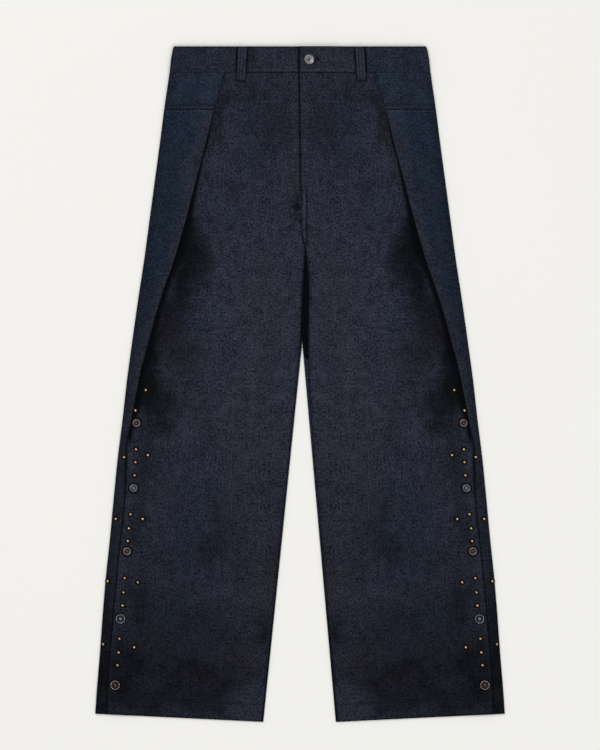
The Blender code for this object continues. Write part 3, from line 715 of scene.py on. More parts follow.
def denim_material(name, dark, light, warm, cool, sheen, lines="shade"):
    """Raw denim: a mottled heather of indigo, dark washed patches and painted shadow, dark lines of seams and
    of painted shade, and a twill weave.
    """
    nodes = Nodes(name)
    places = nodes.attribute("cloth", "Vector")
    wide, wider = nodes.stretched(places, 1.0, 0.8), nodes.stretched(places, 1.0, 0.7)
    heather = nodes.spots(wide, 0.36, 3.0, 0.70, 0.36, 0.64)
    grain = nodes.spots(wider, 0.70, 2.0, 0.6, 0.36, 0.64)
    slub = nodes.spots(nodes.stretched(places, 1.0, 0.07), 0.42, 2.0, 0.6, 0.38, 0.62)
    cloud = nodes.spots(places, 0.030, 4.0, 0.62, 0.36, 0.66)
    blot = nodes.spots(places, 0.085, 2.0, 0.6, 0.34, 0.66)
    parts = ((heather, 0.40), (grain, 0.30), (slub, 0.08), (cloud, 0.11), (blot, 0.11))
    tone = nodes.spread(nodes.total(*(nodes.times(part, share) for part, share in parts)), 0.28, 0.79)
    patchy = nodes.spots(places, 0.075, 3.0, 0.65, 0.46, 0.66)
    blue = nodes.times(nodes.attribute("blue"), nodes.total(nodes.times(patchy, 0.6), 0.4))
    brown = nodes.times(nodes.spots(wide, 0.090, 3.0, 0.65, 0.44, 0.66), 0.3)
    specks = nodes.spots(wider, 0.6, 1.0, 0.5, 0.56, 0.72)
    # Dark washed patches and painted shadow, broken by light specks
    stain = nodes.times(nodes.attribute("stain"), nodes.total(nodes.times(cloud, 0.36), 0.80))
    stain = nodes.math("SUBTRACT", nodes.math("MINIMUM", stain, 1.0), nodes.times(specks, 0.10))
    twill = nodes.make("TexWave", {"Vector": nodes.stretched(places, 1.0, 1.0, 62.0), "Scale": 0.30,
                               "Distortion": 1.6, "Detail": 2.0, "Detail Scale": 1.5}, "Fac",
                   wave_type="BANDS", bands_direction="X")
    yarn = nodes.noise(nodes.stretched(places, 2.6, 0.9), 1.0, 2.0, 0.6)
    colour = nodes.mix(tone, dark, light)
    # Tints, then stains and painted shadow, then worn spots and painted highlights over the heather
    for share, low, high in (
            (nodes.math("MINIMUM", nodes.total(nodes.times(patchy, 0.3), blue), 0.9), dim(cool, 0.15), cool),
            (nodes.math("MAXIMUM", brown, nodes.attribute("brown")), dim(warm, 0.15), warm),
            (nodes.math("MAXIMUM", stain, 0.0), *STAIN_AND_SHADOW_COLOURS),
            (nodes.attribute("worn"), *WORN_AND_HIGHLIGHT_COLOURS)):
        colour = nodes.mix(share, colour, nodes.mix(tone, low, high))
    # Dark lines of seams, and painted shade along edges, folds and loops
    colour = nodes.mix(nodes.attribute(lines), colour, LINE_AND_SHADE_COLOUR)
    colour = nodes.mix(nodes.times(twill, 0.38), colour, dim(dark, 0.3))
    relief = nodes.total(nodes.times(twill, -0.5), nodes.times(yarn, 0.9), nodes.times(heather, 0.8))
    return nodes.finish(0.6, 0.0003, relief, Base_Color=colour, Roughness=0.92, Specular_IOR_Level=0.03,
                        Sheen_Weight=0.03, Sheen_Roughness=0.6, Sheen_Tint=sheen)


def thread_material(name, colour):
    """Twisted thread."""
    nodes = Nodes(name)
    twist = nodes.make("TexWave", {"Vector": nodes.stretched(nodes.place(), 1.0, 1.0, 35.0), "Scale": 500.0,
                               "Distortion": 1.0}, "Fac", wave_type="BANDS")
    return nodes.finish(0.5, 0.0001, twist, Roughness=0.7, Specular_IOR_Level=0.2,
                        Base_Color=nodes.mix(twist, dim(colour, 0.45), colour))


def metal_material(name, bright, film, roughness, shows):
    """Metal with a darker film that noise leaves in patches."""
    nodes = Nodes(name)
    bare = nodes.spots(nodes.place(), 420.0, 4.0, 0.65, 0.5 - shows / 2, 0.9 - shows / 2)
    rough = nodes.make("MapRange", {"Value": bare, "To Min": roughness + 0.2, "To Max": roughness}, "Result")
    grain = nodes.noise(nodes.place(), 1900.0, 2.0, 0.6)
    return nodes.finish(0.25, 0.00008, grain, Base_Color=nodes.mix(bare, film, bright), Roughness=rough,
                        Metallic=1.0)


def stone_material(name, colour, vein):
    """A polished stone with a faint vein."""
    nodes = Nodes(name)
    cloud = nodes.spots(nodes.place(), 700.0, 4.0, 0.7, 0.42, 0.66)
    return nodes.finish(0, 0, None, Base_Color=nodes.mix(cloud, colour, vein), Roughness=0.34,
                        Specular_IOR_Level=0.3, Coat_Weight=0.15, Coat_Roughness=0.08)


def shade_ring_material(name):
    """Painted shade: a dark ring of pressed cloth round a metal trim."""
    nodes = Nodes(name)
    grain = nodes.noise(nodes.place(), 900.0, 3.0, 0.6)
    colour = nodes.mix(grain, (0.0006, 0.0007, 0.0010), (0.0034, 0.0036, 0.0052))
    return nodes.finish(0.4, 0.0002, grain, Base_Color=colour, Roughness=0.95, Specular_IOR_Level=0.05)


def floor_material(name):
    """A plain pale surface."""
    nodes = Nodes(name)
    tint = nodes.mix(nodes.noise(nodes.place(), 3.0, 2.0), (0.756, 0.748, 0.721), (0.762, 0.754, 0.728))
    return nodes.finish(0, 0, None, Base_Color=tint, Roughness=0.95, Specular_IOR_Level=0.1)


DENIM = denim_material("denim", (0.0032, 0.0048, 0.0118), (0.0480, 0.0520, 0.0810), (0.0500, 0.0450, 0.0570),
                       (0.0270, 0.0425, 0.0750), (0.55, 0.62, 0.85))
SIDE_DENIM = denim_material("side_denim", (0.0036, 0.0068, 0.0150), (0.0252, 0.0390, 0.0690),
                            (0.0440, 0.0450, 0.0640), (0.0165, 0.0385, 0.0665), (0.50, 0.66, 0.90))
# The backs' inner face, whose dark lines are painted shade
INSIDE = denim_material("inside_denim", (0.0100, 0.0125, 0.0210), (0.0560, 0.0640, 0.0900),
                        (0.0560, 0.0600, 0.0800), (0.0500, 0.0640, 0.0900), (0.6, 0.7, 0.9), "hidden")
THREAD = thread_material("navy_thread", (0.0150, 0.0170, 0.0300))
DARK_THREAD = thread_material("black_thread", (0.0050, 0.0050, 0.0065))
# Metals by name, bright colour, colour of the film, roughness, and how much of the bright metal shows
BRASS, BRONZE, OLD_SILVER, BLACK_SILVER, BEAD_SILVER, BRIGHT_SILVER = (metal_material(*metal) for metal in (
    ("brass", (0.80, 0.61, 0.31), (0.36, 0.24, 0.095), 0.24, 0.3),
    ("dark_bronze", (0.15, 0.095, 0.036), (0.035, 0.021, 0.010), 0.42, 0.4),
    ("old_silver", (0.27, 0.245, 0.23), (0.070, 0.058, 0.052), 0.36, 0.25),
    ("black_silver", (0.030, 0.026, 0.026), (0.008, 0.007, 0.008), 0.45, 0.4),
    ("bead_silver", (0.52, 0.50, 0.49), (0.15, 0.135, 0.135), 0.28, 0.55),
    ("bright_silver", (0.30, 0.30, 0.315), (0.10, 0.10, 0.105), 0.27, 0.25)))
STONES = (stone_material("red_stone", (0.060, 0.003, 0.008), (0.015, 0.001, 0.002)),
          stone_material("turquoise_stone", (0.038, 0.145, 0.235), (0.010, 0.045, 0.080)))
PAINTED_SHADE_RING = shade_ring_material("painted_shade_ring_cloth")


def add_object(name, mesh, materials):
    """A piece of the garment that rides with it."""
    mesh.shade_smooth()
    for material in materials:
        mesh.materials.append(material)
    piece = bpy.data.objects.new(name, mesh)
    bpy.context.scene.collection.objects.link(piece)
    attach(piece, "root")
    return piece


def cloth(name, drops, row, materials, wall, edge, other=0, node=None):
    """A cloth piece and its grid of points. A row gives its points, its start across the cloth, and facts
    about its points; other is the step to the far face's material, and node is what the piece stands for."""
    points, starts, facts = zip(*(row(drop) for drop in drops))
    grid = np.array(points)
    height, width = grid.shape[:2]
    corner = (np.arange(height - 1)[:, None] * width + np.arange(width - 1)).ravel()
    faces = np.stack([corner, corner + 1, corner + width + 1, corner + width], axis=1)
    mesh = bpy.data.meshes.new(name)
    mesh.from_pydata(grid.reshape(-1, 3).tolist(), [], faces.tolist())

    # Places on the flat cloth in millimetres, along each row and down the cloth
    places = np.zeros((height, width, 3))
    places[:, 1:, 0] = np.cumsum(np.linalg.norm(np.diff(grid / MM, axis=1), axis=2), axis=1)
    places[:, :, 0] += np.array(starts, dtype=float)[:, None]
    places[:, :, 1] = np.array(drops)[:, None]
    mesh.attributes.new("cloth", "FLOAT_VECTOR", "POINT").data.foreach_set("vector", places.ravel())
    for fact in ("stain", "brown", "blue", "shade", "worn", "hidden"):
        values = np.array([np.broadcast_to(own.get(fact, 0.0), width) for own in facts], dtype=float)
        mesh.attributes.new(fact, "FLOAT", "POINT").data.foreach_set("value", values.ravel())

    piece = add_object(name, mesh, materials)
    shell = piece.modifiers.new("wall", "SOLIDIFY")
    shell.thickness, shell.offset, shell.material_offset = wall * MM, 0.0, other
    shell.use_even_offset = shell.use_quality_normals = True
    rounding = piece.modifiers.new("edge", "BEVEL")
    rounding.width, rounding.segments = edge * MM, 2
    rounding.limit_method, rounding.angle_limit = "ANGLE", radians(60)
    if node:
        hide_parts(node)
    return piece, grid


def fold_shadow(u, drop):
    """Painted shadow: a dark band of the front's cloth along the pleat's fold."""
    width = 1.2 + 2.2 * ease(drop, 80, 200) + 5.0 * ease(drop, 210, 290) + 8.0 * hump(drop - 318, 34)
    width = width * (0.7 + 0.6 * mottle(0.0, drop, 30, 7))
    strength = 0.35 + 0.63 * ease(drop, 60, 130)
    away = fold_at(drop) - u
    return strength * (1 - ease(away, 0.5 * width, 1.6 * width)) * (1 - read(FRONT_EDGE, "lap", drop))


def front_shade(side, u, drop):
    """Painted shade of a front: dark lines along its edges and its seams, and painted shadow beside the
    pleat's fold and the layers that lie on it.
    """
    fold, inner, lap = fold_at(drop), front_inner(side, drop), read(FRONT_EDGE, "lap", drop)
    lines = [fold_shadow(u, drop), (0.1 + 0.35 * (1 - ease(u, 92, 104))) * hump(drop - PANEL_TOP, 1.1),
             0.5 * hump(drop - hem_stitch(u), 1.5), 0.8 * hump(drop - LENGTH, 1.8),
             0.8 * lap * hump(fold - u, 1.2 + 1.2 * (1 - ease(drop, 700, 740)))]
    if side == RIGHT:
        lines.append(0.92 * hump(u - CENTRE_SEAM_SHADE, 1.5) * between(drop, 218, 230, 316, 332))
    seamed = between(drop, 226, 240, 296, 312)
    if drop >= 312:
        lines += [0.8 * hump(u - inner, 1.3), (0.6 - 0.3 * ease(drop, 520, 640)) * hump(u - inner, 3.4)]
    elif side == LEFT:
        lines.append((0.97 - 0.5 * seamed) * hump(u + inner_at(RIGHT, "front", drop) - 1.1, 1.3))
    else:
        lines.append((0.8 - 0.6 * seamed) * hump(u - inner, 1.0))
    return most(*lines)


def front_leg(side):
    """One front: darker patches down its outer side, some of them painted shadow beside the fold, and painted
    shade along the fold and at its edges.
    """
    own = {key: values[SEAM_STAINS_AND_SHADE["side"] == side] for key, values in SEAM_STAINS_AND_SHADE.items() if key != "side"}

    def row(drop):
        u, z = front_row(side, drop)
        # Washed patches, and patches of painted shadow beside the pleat's fold
        dark, brown = patches(FRONT_STAINS_AND_SHADOWS, u, drop)
        corner = 1 - 0.75 * (1 - ease(u, 84, 134)) * ease(drop, 1000, 1032)
        blotches = 0.4 + 0.7 * mottle(u, drop, 34, 6) + 0.5 * mottle(u, drop, 13, 17)
        dark = 1 - (1 - dark) * (1 - corner * read(FADE, "dark", drop) * blotches)
        seam_dark, seam_brown = patches(own, u, drop)
        # Painted shade in the crumples of the centre seam, with stain and brown from the same patches
        crumple_shade = seam_dark * (0.2 + 0.8 * ramp(mottle(u, drop, 4.5, 8), 0.25, 0.6))
        flecks = 0.6 * seam_dark * ramp(mottle(u, drop, 3.0, 18), 0.60, 0.78)
        # Lighter ridge beside the centre seam: a worn edge with a painted highlight
        ridge = between(drop, 222, 236, 300, 322) * hump(u - CENTRE_SEAM_RIDGE, 1.3)
        ridge = 0.45 * ridge * (side == RIGHT)
        return world(side, u, z, drop), u[0], {
            "stain": 1 - (1 - dark) * (1 - 0.55 * seam_dark), "worn": most(ridge, flecks),
            "brown": most(brown, seam_brown, patches(FRONT_WARMS, u, drop)[1]),
            "blue": patches(FRONT_BLUES, u, drop)[1],
            "shade": most(front_shade(side, u, drop), 0.95 * crumple_shade)}

    drops = steps(PANEL_TOP, LENGTH, 3.0, (PANEL_TOP, LENGTH - HEM_DEPTH, LENGTH))
    return cloth("cloth_front_" + SIDES[side], drops, row, [DENIM], CLOTH, edge=0.4,
                 node="front_leg_" + SIDES[side])


def back_panel(side, drops, node):
    """A back leg or a yoke, from the inner edge across the back and round the side to the pleat."""
    def row(drop):
        u, z = back_row(side, drop)
        fold, outline = fold_at(drop), outline_at(drop)
        upper = (z > SIDE_SPLIT) & (u > fold - 3)
        breadth = 17 - 8 * ease(drop, 180, 300) + 5 * mottle(drop, u, 40, 9)
        near_fold = hump(np.maximum(u - fold - 4, 0), breadth) * upper
        lower, ending = ease(drop, 560, 760), between(drop, 590, 640, 690, 740)
        uneven = 0.75 + 0.3 * mottle(u, drop, 30, 11) + 0.2 * mottle(u, drop, 12, 12)
        # Painted highlight along the fold's rounded edge: the cloth beside the fold is made lighter and
        # browner
        fold_highlight = 1 - 0.8 * near_fold * (1 - ease(drop, 300, 460))
        tint_and_highlight = 0.22 * upper * (1 - ease(drop, YOKE_SEAM - 4, YOKE_SEAM + 10))
        tint_and_highlight = tint_and_highlight + near_fold * ease(drop, 60, 150) * (0.55 + 0.45 * mottle(u, drop, 15, 13))
        broken = 0.55 + 0.45 * mottle(u, 0.0, 9, 14)
        shade = most(
            0.75 * hump(outline - u, 2.4), 0.30 * hump(outline - u, 11.0) * upper,
            0.6 * hump(u - fold + 0.5, 1.2) * upper * (1 - lower),
            0.9 * max(lower, ending) * hump(np.maximum(u - fold, 0), 1.9 + 2.4 * ending) * upper,
            broken * hump(drop - YOKE_SEAM, 1.2), 0.75 * broken * hump(drop - YOKE_STITCH, 1.5),
            0.8 * hump(drop - LENGTH, 1.8), 0.25 * hump(drop - hem_stitch(u), 1.6))
        seam = (z < SIDE_SPLIT) * (1 - ease(drop, SEAM_OPENS, LEGS_PART))
        # Painted deep shade of the inner face where it shows between the fronts at the crotch
        joint = (1 - ease(u, 17, 24)) * (1 - ease(drop, LEGS_PART, LEGS_PART + 20))
        ridge = 0.7 * mottle(u, 0.0, 2.2, 15) * hump(drop - YOKE_SEAM - 2.0, 0.9)
        rubbed = 0.35 * seam * mottle(0.0, drop, 2.2, 16) * hump(u - u[0] - 3.0, 1.0)
        return world(side, u, z, drop), 0.0 if side == RIGHT else LEFT_WEAVE_START, {
            "stain": np.clip(read(SIDE_FADE, "dark", drop) * uneven * fold_highlight, 0, 1),
            "brown": np.minimum(tint_and_highlight, 1), "shade": most(shade, 0.85 * seam * hump(u - u[0], 1.3)),
            "worn": most(ridge, rubbed), "hidden": np.where(z < SIDE_SPLIT, joint, shade)}

    faces = [SIDE_DENIM, INSIDE] if side == RIGHT else [INSIDE, SIDE_DENIM]
    return cloth("cloth_" + node, drops, row, faces, CLOTH, edge=0.5, other=1, node=node)


def back_seam():
    """The narrow tape inside the centre back seam, which closes the joint between the two backs."""
    def row(drop):
        centre = (inner_at(RIGHT, "back", drop) - inner_at(LEFT, "back", drop)) / 2
        x = centre + np.linspace(-TAPE_WIDTH / 2, TAPE_WIDTH / 2, 9)
        z = CLOTH + TAPE_WALL + loop_bump(x, drop) + 0.1 * np.cos((x - centre) / 3)
        return world(RIGHT, x, z, drop), 0.0, {"shade": 1.0}

    drops = steps(PANEL_TOP + 1, BACK_SEAM_END, 6.0)
    return cloth("cloth_seam_back", drops, row, [SIDE_DENIM], TAPE_WALL, edge=0.1)


def fly_shield():
    """The strip behind the centre front, beside the left front's edge."""
    def row(drop):
        start = -inner_at(LEFT, "front", drop) + FLY_UNDER + 2 * SEAM_GAP
        u = np.linspace(start, start + read(SHIELD, "width", drop) - FLY_UNDER, 14)
        return world(RIGHT, u, front_height(LEFT, u, drop), drop), start, {}

    drops = steps(PANEL_TOP, SHIELD_END, 4.0)
    return cloth("cloth_fly_shield", drops, row, [DENIM], CLOTH, edge=0.4, node="fly_shield")


def band_section(drop):
    """Section of the waistband: from its underlap, round the left side and the back, to its top end."""
    radius = (BAND_FRONT - BAND_BACK) / 2
    turn_start = read(OUTLINE, "side", drop) - BAND_WALL / 2 - radius
    turn_u, turn_z = bend((turn_start, BAND_BACK), 0.0, pi, radius, 12)
    front = spans([SHIELD_WIDTH, 4, -6, -78, -110, -turn_start], (8, 10, 24, 32, 28))[:-1]
    back = spans([-turn_start, turn_start], (124,))
    rise = spans([turn_start, 113, 81, 75, FLY_INNER, 4, read(INNER, "front_right", drop)],
                 (28, 32, 3, 12, 12, 6))[1:]
    lift = (BAND_LAP - BAND_FRONT) * (1 - ease(rise, FLY_INNER, 75))
    return (np.concatenate([front, -turn_u[::-1], back, turn_u, rise]),
            np.concatenate([np.full_like(front, BAND_FRONT), turn_z[::-1], BAND_BACK + loop_bump(back, 0.0),
                            turn_z, BAND_FRONT + lift]))


def band_relief(x, z, drop):
    """Gathers of the waistband along its sewing, and a slight crown between its edges."""
    clear = ease(z, BAND_FRONT - 1, BAND_FRONT - 0.2) * ease(np.abs(x - BUTTON_X - 4), 12, 24)
    for place in FRONT_LOOPS.values():
        clear = clear * ease(np.abs(x - sum(place) / 2), 9, 18)
    crown = 0.35 * sin(pi * drop / BAND_DEPTH) * (1 - ease(x, -BUMP_END, SHIELD_WIDTH))
    gathers = pucker(x, drop - 2, 0.16) + pucker(x + 4, drop - BAND_DEPTH, 0.24)
    return clear * (crown + gathers + 0.2 * swell(1, x, drop * 3))


def loop_x(side, drop):
    """X of the middle of a front loop, which leans a little."""
    top_x, low_x = FRONT_LOOPS[side]
    return top_x + (low_x - top_x) * drop / LOOP_LENGTH


def loop_shadow(x, drop):
    """Painted shadow on the waistband beside the front belt loops, darker on their outer side."""
    dark = np.zeros_like(x)
    for side in SIDES:
        away = x - loop_x(side, drop)
        outer = np.where(away * side > 0, 1.0, 0.55)
        dark = most(dark, outer * hump(np.abs(away) - LOOP_WIDTH / 2 - 0.9, 1.5))
    return dark


def cut_holes(piece):
    """Cut the keyhole buttonhole through the waistband's top end only."""
    low = BAND_FRONT + BAND_WALL / 2 + SEAM_GAP / 2
    high = BAND_LAP + BAND_WALL + 1
    y, z = (LENGTH / 2 - BUTTON_DROP) * MM, (low + high) / 2 * MM
    bpy.ops.mesh.primitive_cylinder_add(vertices=32, radius=KEYHOLE_RADIUS * MM, depth=(high - low) * MM)
    eyelet = bpy.context.object
    eyelet.location = (BUTTON_X * MM, y, z)
    bpy.ops.mesh.primitive_cube_add(size=1.0)
    slit = bpy.context.object
    slit.scale = ((SLIT_END - BUTTON_X) * MM, SLIT_WIDTH * MM, (high - low + 0.02) * MM)
    slit.location = ((SLIT_END + BUTTON_X) / 2 * MM, y, z)
    for cutter in (eyelet, slit):
        cut = piece.modifiers.new("hole", "BOOLEAN")
        cut.operation, cut.solver, cut.object = "DIFFERENCE", "EXACT", cutter
    bpy.context.view_layer.update()
    evaluated = piece.evaluated_get(bpy.context.evaluated_depsgraph_get())
    piece.data = bpy.data.meshes.new_from_object(evaluated)
    piece.modifiers.clear()
    for cutter in (eyelet, slit):
        bpy.data.objects.remove(cutter, do_unlink=True)


def waistband():
    """The waistband, one strip from its underlap round to its buttoned end."""
    def row(drop):
        x, z = band_section(drop)
        out = np.abs(x)
        stripe = hump(x + 77, 8)
        brown = 0.14 + 0.6 * stripe + 0.3 * hump(x - 30, 34) + 0.2 * hump(x - 80, 12)
        edge = x - read(INNER, "front_right", drop)
        upper = z > BAND_LAP - 1
        return world(RIGHT, x, z + band_relief(x, z, drop), drop), -SHIELD_WIDTH, {
            "brown": brown * (0.7 + 0.3 * mottle(x, drop, 34, 21)),
            "blue": 0.3 + 0.6 * ease(out, 84, 130),
            "stain": 0.04 + 0.10 * ease(out, 140, 170) + 0.20 * mottle(x, drop, 19, 22) + 0.40 * stripe,
            "shade": most(0.7 * hump(drop, 1.5), loop_shadow(x, drop),
                          (0.06 + 0.40 * (1 - ease(out, 92, 104))) * hump(drop - BAND_DEPTH, 1.0),
                          0.6 * hump(out - read(OUTLINE, "side", drop), 2.4),
                          0.9 * hump(edge, 1.3) * upper, 0.97 * hump(edge + 1.4, 1.6) * ~upper),
            "worn": 0.45 * (1 - ease(out, 86, 96)) * hump(drop - 38.2, 1.0)}

    made = cloth("cloth_waistband", BAND_ROWS, row, [DENIM], BAND_WALL, edge=0.7)
    cut_holes(made[0])
    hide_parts("waistband")
    return made


def loop_ridges(across):
    """Ribs of a folded belt loop between and beside its two lines of sewing."""
    return -0.45 * hump(np.abs(across) - LOOP_SEWING, 0.9) + 0.15 * hump(across, 1.6)


def front_loop_height(side, drop):
    """Height of the middle of a front loop at a drop."""
    half = LOOP_WIDTH / 2
    sewn = most(*(front_height(side, side * loop_x(side, drop) + edge, drop) for edge in (half, -half)))
    low = sewn + (CLOTH + LOOP_WALL) / 2 + SEAM_GAP
    bulge = LOOP_BULGE * sin(pi * min(drop / BAND_DEPTH, 1.0))
    over = BAND_FRONT + (BAND_WALL + LOOP_WALL) / 2 + SEAM_GAP + bulge
    return most(over + (low - over) * ease(drop, BAND_DEPTH - 4, BAND_DEPTH + 4), low) + 0.2


def belt_loop(name, centre_x, height, count):
    """A belt loop from its middle's X and its height at each drop, in a number of rows."""
    across = spans([-LOOP_WIDTH / 2, LOOP_WIDTH / 2], (24,))
    out = np.abs(across)

    def row(drop):
        end = 1 - ease(LOOP_LENGTH - drop, 2.2, 4.4)
        rim = hump(np.maximum(LOOP_WIDTH / 2 - 0.6 - out, 0), 0.9)
        return world(RIGHT, centre_x(drop) + across, height(drop, across), drop), centre_x(0.0), {
            "stain": 0.05, "blue": 0.8, "shade": most(rim, 0.75 * hump(out - LOOP_SEWING, 0.8), 0.95 * end),
            "worn": (0.4 * hump(out - 5.2, 1.0) + 0.25 * hump(across, 1.2)) * (1 - end)}

    drops = list(np.linspace(LOOP_TOP, LOOP_LENGTH, count))
    return cloth("cloth_" + name, drops, row, [DENIM], LOOP_WALL, edge=0.45, node=name)


def front_loop(side):
    """A belt loop over the waistband's front, sewn down just below it."""
    return belt_loop("loop_front_" + SIDES[side], lambda drop: loop_x(side, drop),
                     lambda drop, across: front_loop_height(side, drop) + loop_ridges(across), 34)


def back_loop(name, x):
    """A belt loop of the back, which the garment lies on."""
    return belt_loop("loop_back_" + name, lambda drop: x,
                     lambda drop, across: LOOP_WALL / 2 - np.minimum(loop_ridges(across), 0.0), 20)


def solid(name, shapes, slot, materials, *nodes):
    """A piece joined from shapes in millimetres, each with points, faces and a material number, and the nodes
    that it stands for."""
    points, faces, slots = [], [], []
    for shape_points, shape_faces, number in shapes:
        faces += [tuple(index + len(points) for index in face) for face in shape_faces]
        points += [tuple(point) for point in shape_points]
        slots += [number] * len(shape_faces)
    mesh = bpy.data.meshes.new(name)
    mesh.from_pydata((np.array(points) * MM).tolist(), [], faces)
    mesh.polygons.foreach_set("material_index", slots)
    piece = add_object(name, mesh, materials)
    if nodes:
        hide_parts(*nodes)
    return piece


def strips(rings, count, closed=False):
    """Faces between rings of the given number of points, and back to the first ring if closed."""
    pairs = [(ring, ring + 1) for ring in range(rings - 1)] + ([(rings - 1, 0)] if closed else [])
    return [(low * count + step, high * count + step, high * count + (step + 1) % count,
             low * count + (step + 1) % count) for low, high in pairs for step in range(count)]


def turned(profile, count, slot=0, closed=False):
    """A shape turned round Z from its profile of radius and height, top to bottom, or from a closed loop."""
    points = [(radius * cos(2 * pi * step / count), radius * sin(2 * pi * step / count), height)
              for radius, height in profile for step in range(count)]
    faces = strips(len(profile), count, closed)
    if not closed:
        last = (len(profile) - 1) * count
        faces += [tuple(range(count)), tuple(last + step for step in reversed(range(count)))]
    return points, faces, slot


def placed(shape, place, tilt=0.0):
    """A shape turned about Y by an angle and moved to a place."""
    points, faces, slot = shape
    x, y, z = np.array(points).T
    turned_points = np.stack([x * cos(tilt) + z * sin(tilt), y, z * cos(tilt) - x * sin(tilt)], axis=1)
    return turned_points + np.array(place), faces, slot


def dome(radius, height, count, base=0.0):
    """Profile of a dome from its top down to its foot."""
    angles = [pi / 2 * (step + 0.35) / (count + 0.35) for step in range(count + 1)]
    return [(radius * sin(angle), base + height * cos(angle)) for angle in angles]


def stud_shape():
    """A dome stud on a dark flange, and a dark ring of pressed cloth round it for painted shade."""
    rim = STUD_RADIUS
    return [turned(dome(1.75, STUD_HEIGHT - 0.4, 6, 0.4) + [(1.75, 0.3), (1.0, 0.2)], 18),
            turned([(1.5, 0.6), (1.95, 0.55), (rim, 0.3), (rim, 0.05), (1.0, -0.3)], 18, 1),
            turned([(rim + 0.1, 0.02), (rim + 1.1, 0.06), (rim + 2.2, -0.34), (rim + 0.2, -0.7)], 20, 2)]


def snap_shape(beaded):
    """A snap cap: a dark dished skirt, a bright hoop or a hoop of beads on it, and a stone in the middle."""
    rim = SNAP_RADIUS
    skirt = [(0.4, 1.2), (3.4, 1.15), (4.0, 1.1), (6.4, 1.2), (7.0, 0.95), (7.5, 0.55), (rim, 0.2),
             (7.4, -0.1), (2.0, -0.2)]
    # A dark ring of pressed cloth round the cap, for painted shade
    ring = [(rim - 0.2, 0.04), (rim + 0.7, 0.05), (rim + 1.6, -0.34), (rim - 0.3, -0.7)]
    collar = [(2.6, 1.75), (2.9, 1.9), (3.2, 1.75), (3.4, 1.2), (2.6, 1.1)]
    shapes = [turned(skirt, 36, 1), turned(ring, 36, 2), turned(collar, 24, 1)]
    if beaded:
        hoop = [(4.2, 1.0), (4.4, 1.3), (4.7, 1.32), (4.9, 1.15), (4.9, 0.95), (4.2, 0.9)]
        shapes.append(turned(hoop, 36, 1, True))
        bead = turned(dome(0.86, 0.85, 5), 10, 3)
        for angle in (2 * pi * (step + 0.5) / BEADS for step in range(BEADS)):
            shapes.append(placed(bead, (6.7 * cos(angle), 6.7 * sin(angle), 0.85)))
    else:
        hoop = [(3.8, 1.0), (4.2, 1.5), (4.8, 1.85), (5.5, 1.85), (6.0, 1.5), (6.3, 1.1), (6.2, 0.95),
                (3.9, 0.9)]
        shapes.append(turned(hoop, 36, 0, True))
    return shapes + [placed(turned(dome(2.65, SNAP_HEIGHT - 1.65, 6), 24, 4), (0, 0, 1.65))]


def seat(side, u, drop):
    """Place and tilt of a trim on the front's cloth."""
    row = drop + row_rise(u, drop)
    across = (front_height(side, u + 4.0, row) - front_height(side, u - 4.0, row)) / 8.0
    height = front_height(side, u, row) + CLOTH / 2 + SEAM_GAP
    return (side * u, LENGTH / 2 - drop, height), -side * atan2(across, 1.0)


def outer_seat(side, u, drop, tilt):
    """Place and tilt of a stud on the side strip, near the garment's outer edge."""
    height = side_top(side, u, drop + row_rise(u, drop)) + SEAM_GAP - 0.12 * tilt / 5
    return (side * u, LENGTH / 2 - drop, height), side * radians(tilt)


def studs(side):
    """All studs of one side as one joined piece."""
    seats = [seat(side, *row) for row in zip(*STUDS.values())]
    seats += [outer_seat(side, *row) for row in zip(*OUTER_STUDS.values())]
    shapes = [placed(shape, place, tilt) for place, tilt in seats for shape in stud_shape()]
    nodes = [f"stud_{SIDES[side]}_{number + 1:02d}" for number in range(len(STUDS["u"]))]
    return solid("studs_" + SIDES[side], shapes, "brass", [BRASS, BRONZE, PAINTED_SHADE_RING], *nodes)


def snap(side, number, u, drop):
    """One snap cap; the stones take turns in colour."""
    name = f"snap_{SIDES[side]}_{number}"
    shapes = [placed(shape, *seat(side, u, drop)) for shape in snap_shape(number in BEADED_SNAPS)]
    materials = [OLD_SILVER, BLACK_SILVER, PAINTED_SHADE_RING, BEAD_SILVER, STONES[(number - 1) % 2]]
    return solid("cap_" + name, shapes, "old_silver", materials, name)


def tack_button():
    """The waist's button: a bright disc and nub on a dark cap, on a post that ends on the underlap."""
    post_low = BAND_FRONT + BAND_WALL / 2 + SEAM_GAP
    low = BAND_LAP + BAND_WALL / 2 + SEAM_GAP - post_low
    top = low + BUTTON_CAP
    cap = [(0.3, top - 1.2), (2.4, top - 1.2), (2.8, top - 0.95), (5.3, top - 0.95), (7.6, top - 1.1),
           (BUTTON_RADIUS, top - 1.3), (8.1, low + 0.3), (7.6, low), (POST_RADIUS, low), (POST_RADIUS, 0.0)]
    disc = [(1.9, top - 1.0), (2.3, top - 0.72), (3.4, top - 0.62), (5.0, top - 0.55), (5.7, top - 0.5),
            (6.0, top - 0.38), (6.6, top - 0.12), (7.2, top - 0.05), (7.8, top - 0.4), (8.15, top - 1.1),
            (7.8, top - 1.5), (2.0, top - 1.4)]
    nub = [(radius, height + top - 1.3) for radius, height in dome(1.15, 1.0, 6)]
    place = (BUTTON_X, LENGTH / 2 - BUTTON_DROP, post_low)
    turnings = (turned(cap, 48, 1), turned(disc, 48, 0, True), turned(nub, 16))
    shapes = [placed(shape, place) for shape in turnings]
    return solid("button", shapes, "bright_silver", [BRIGHT_SILVER, BLACK_SILVER], "tack_button")


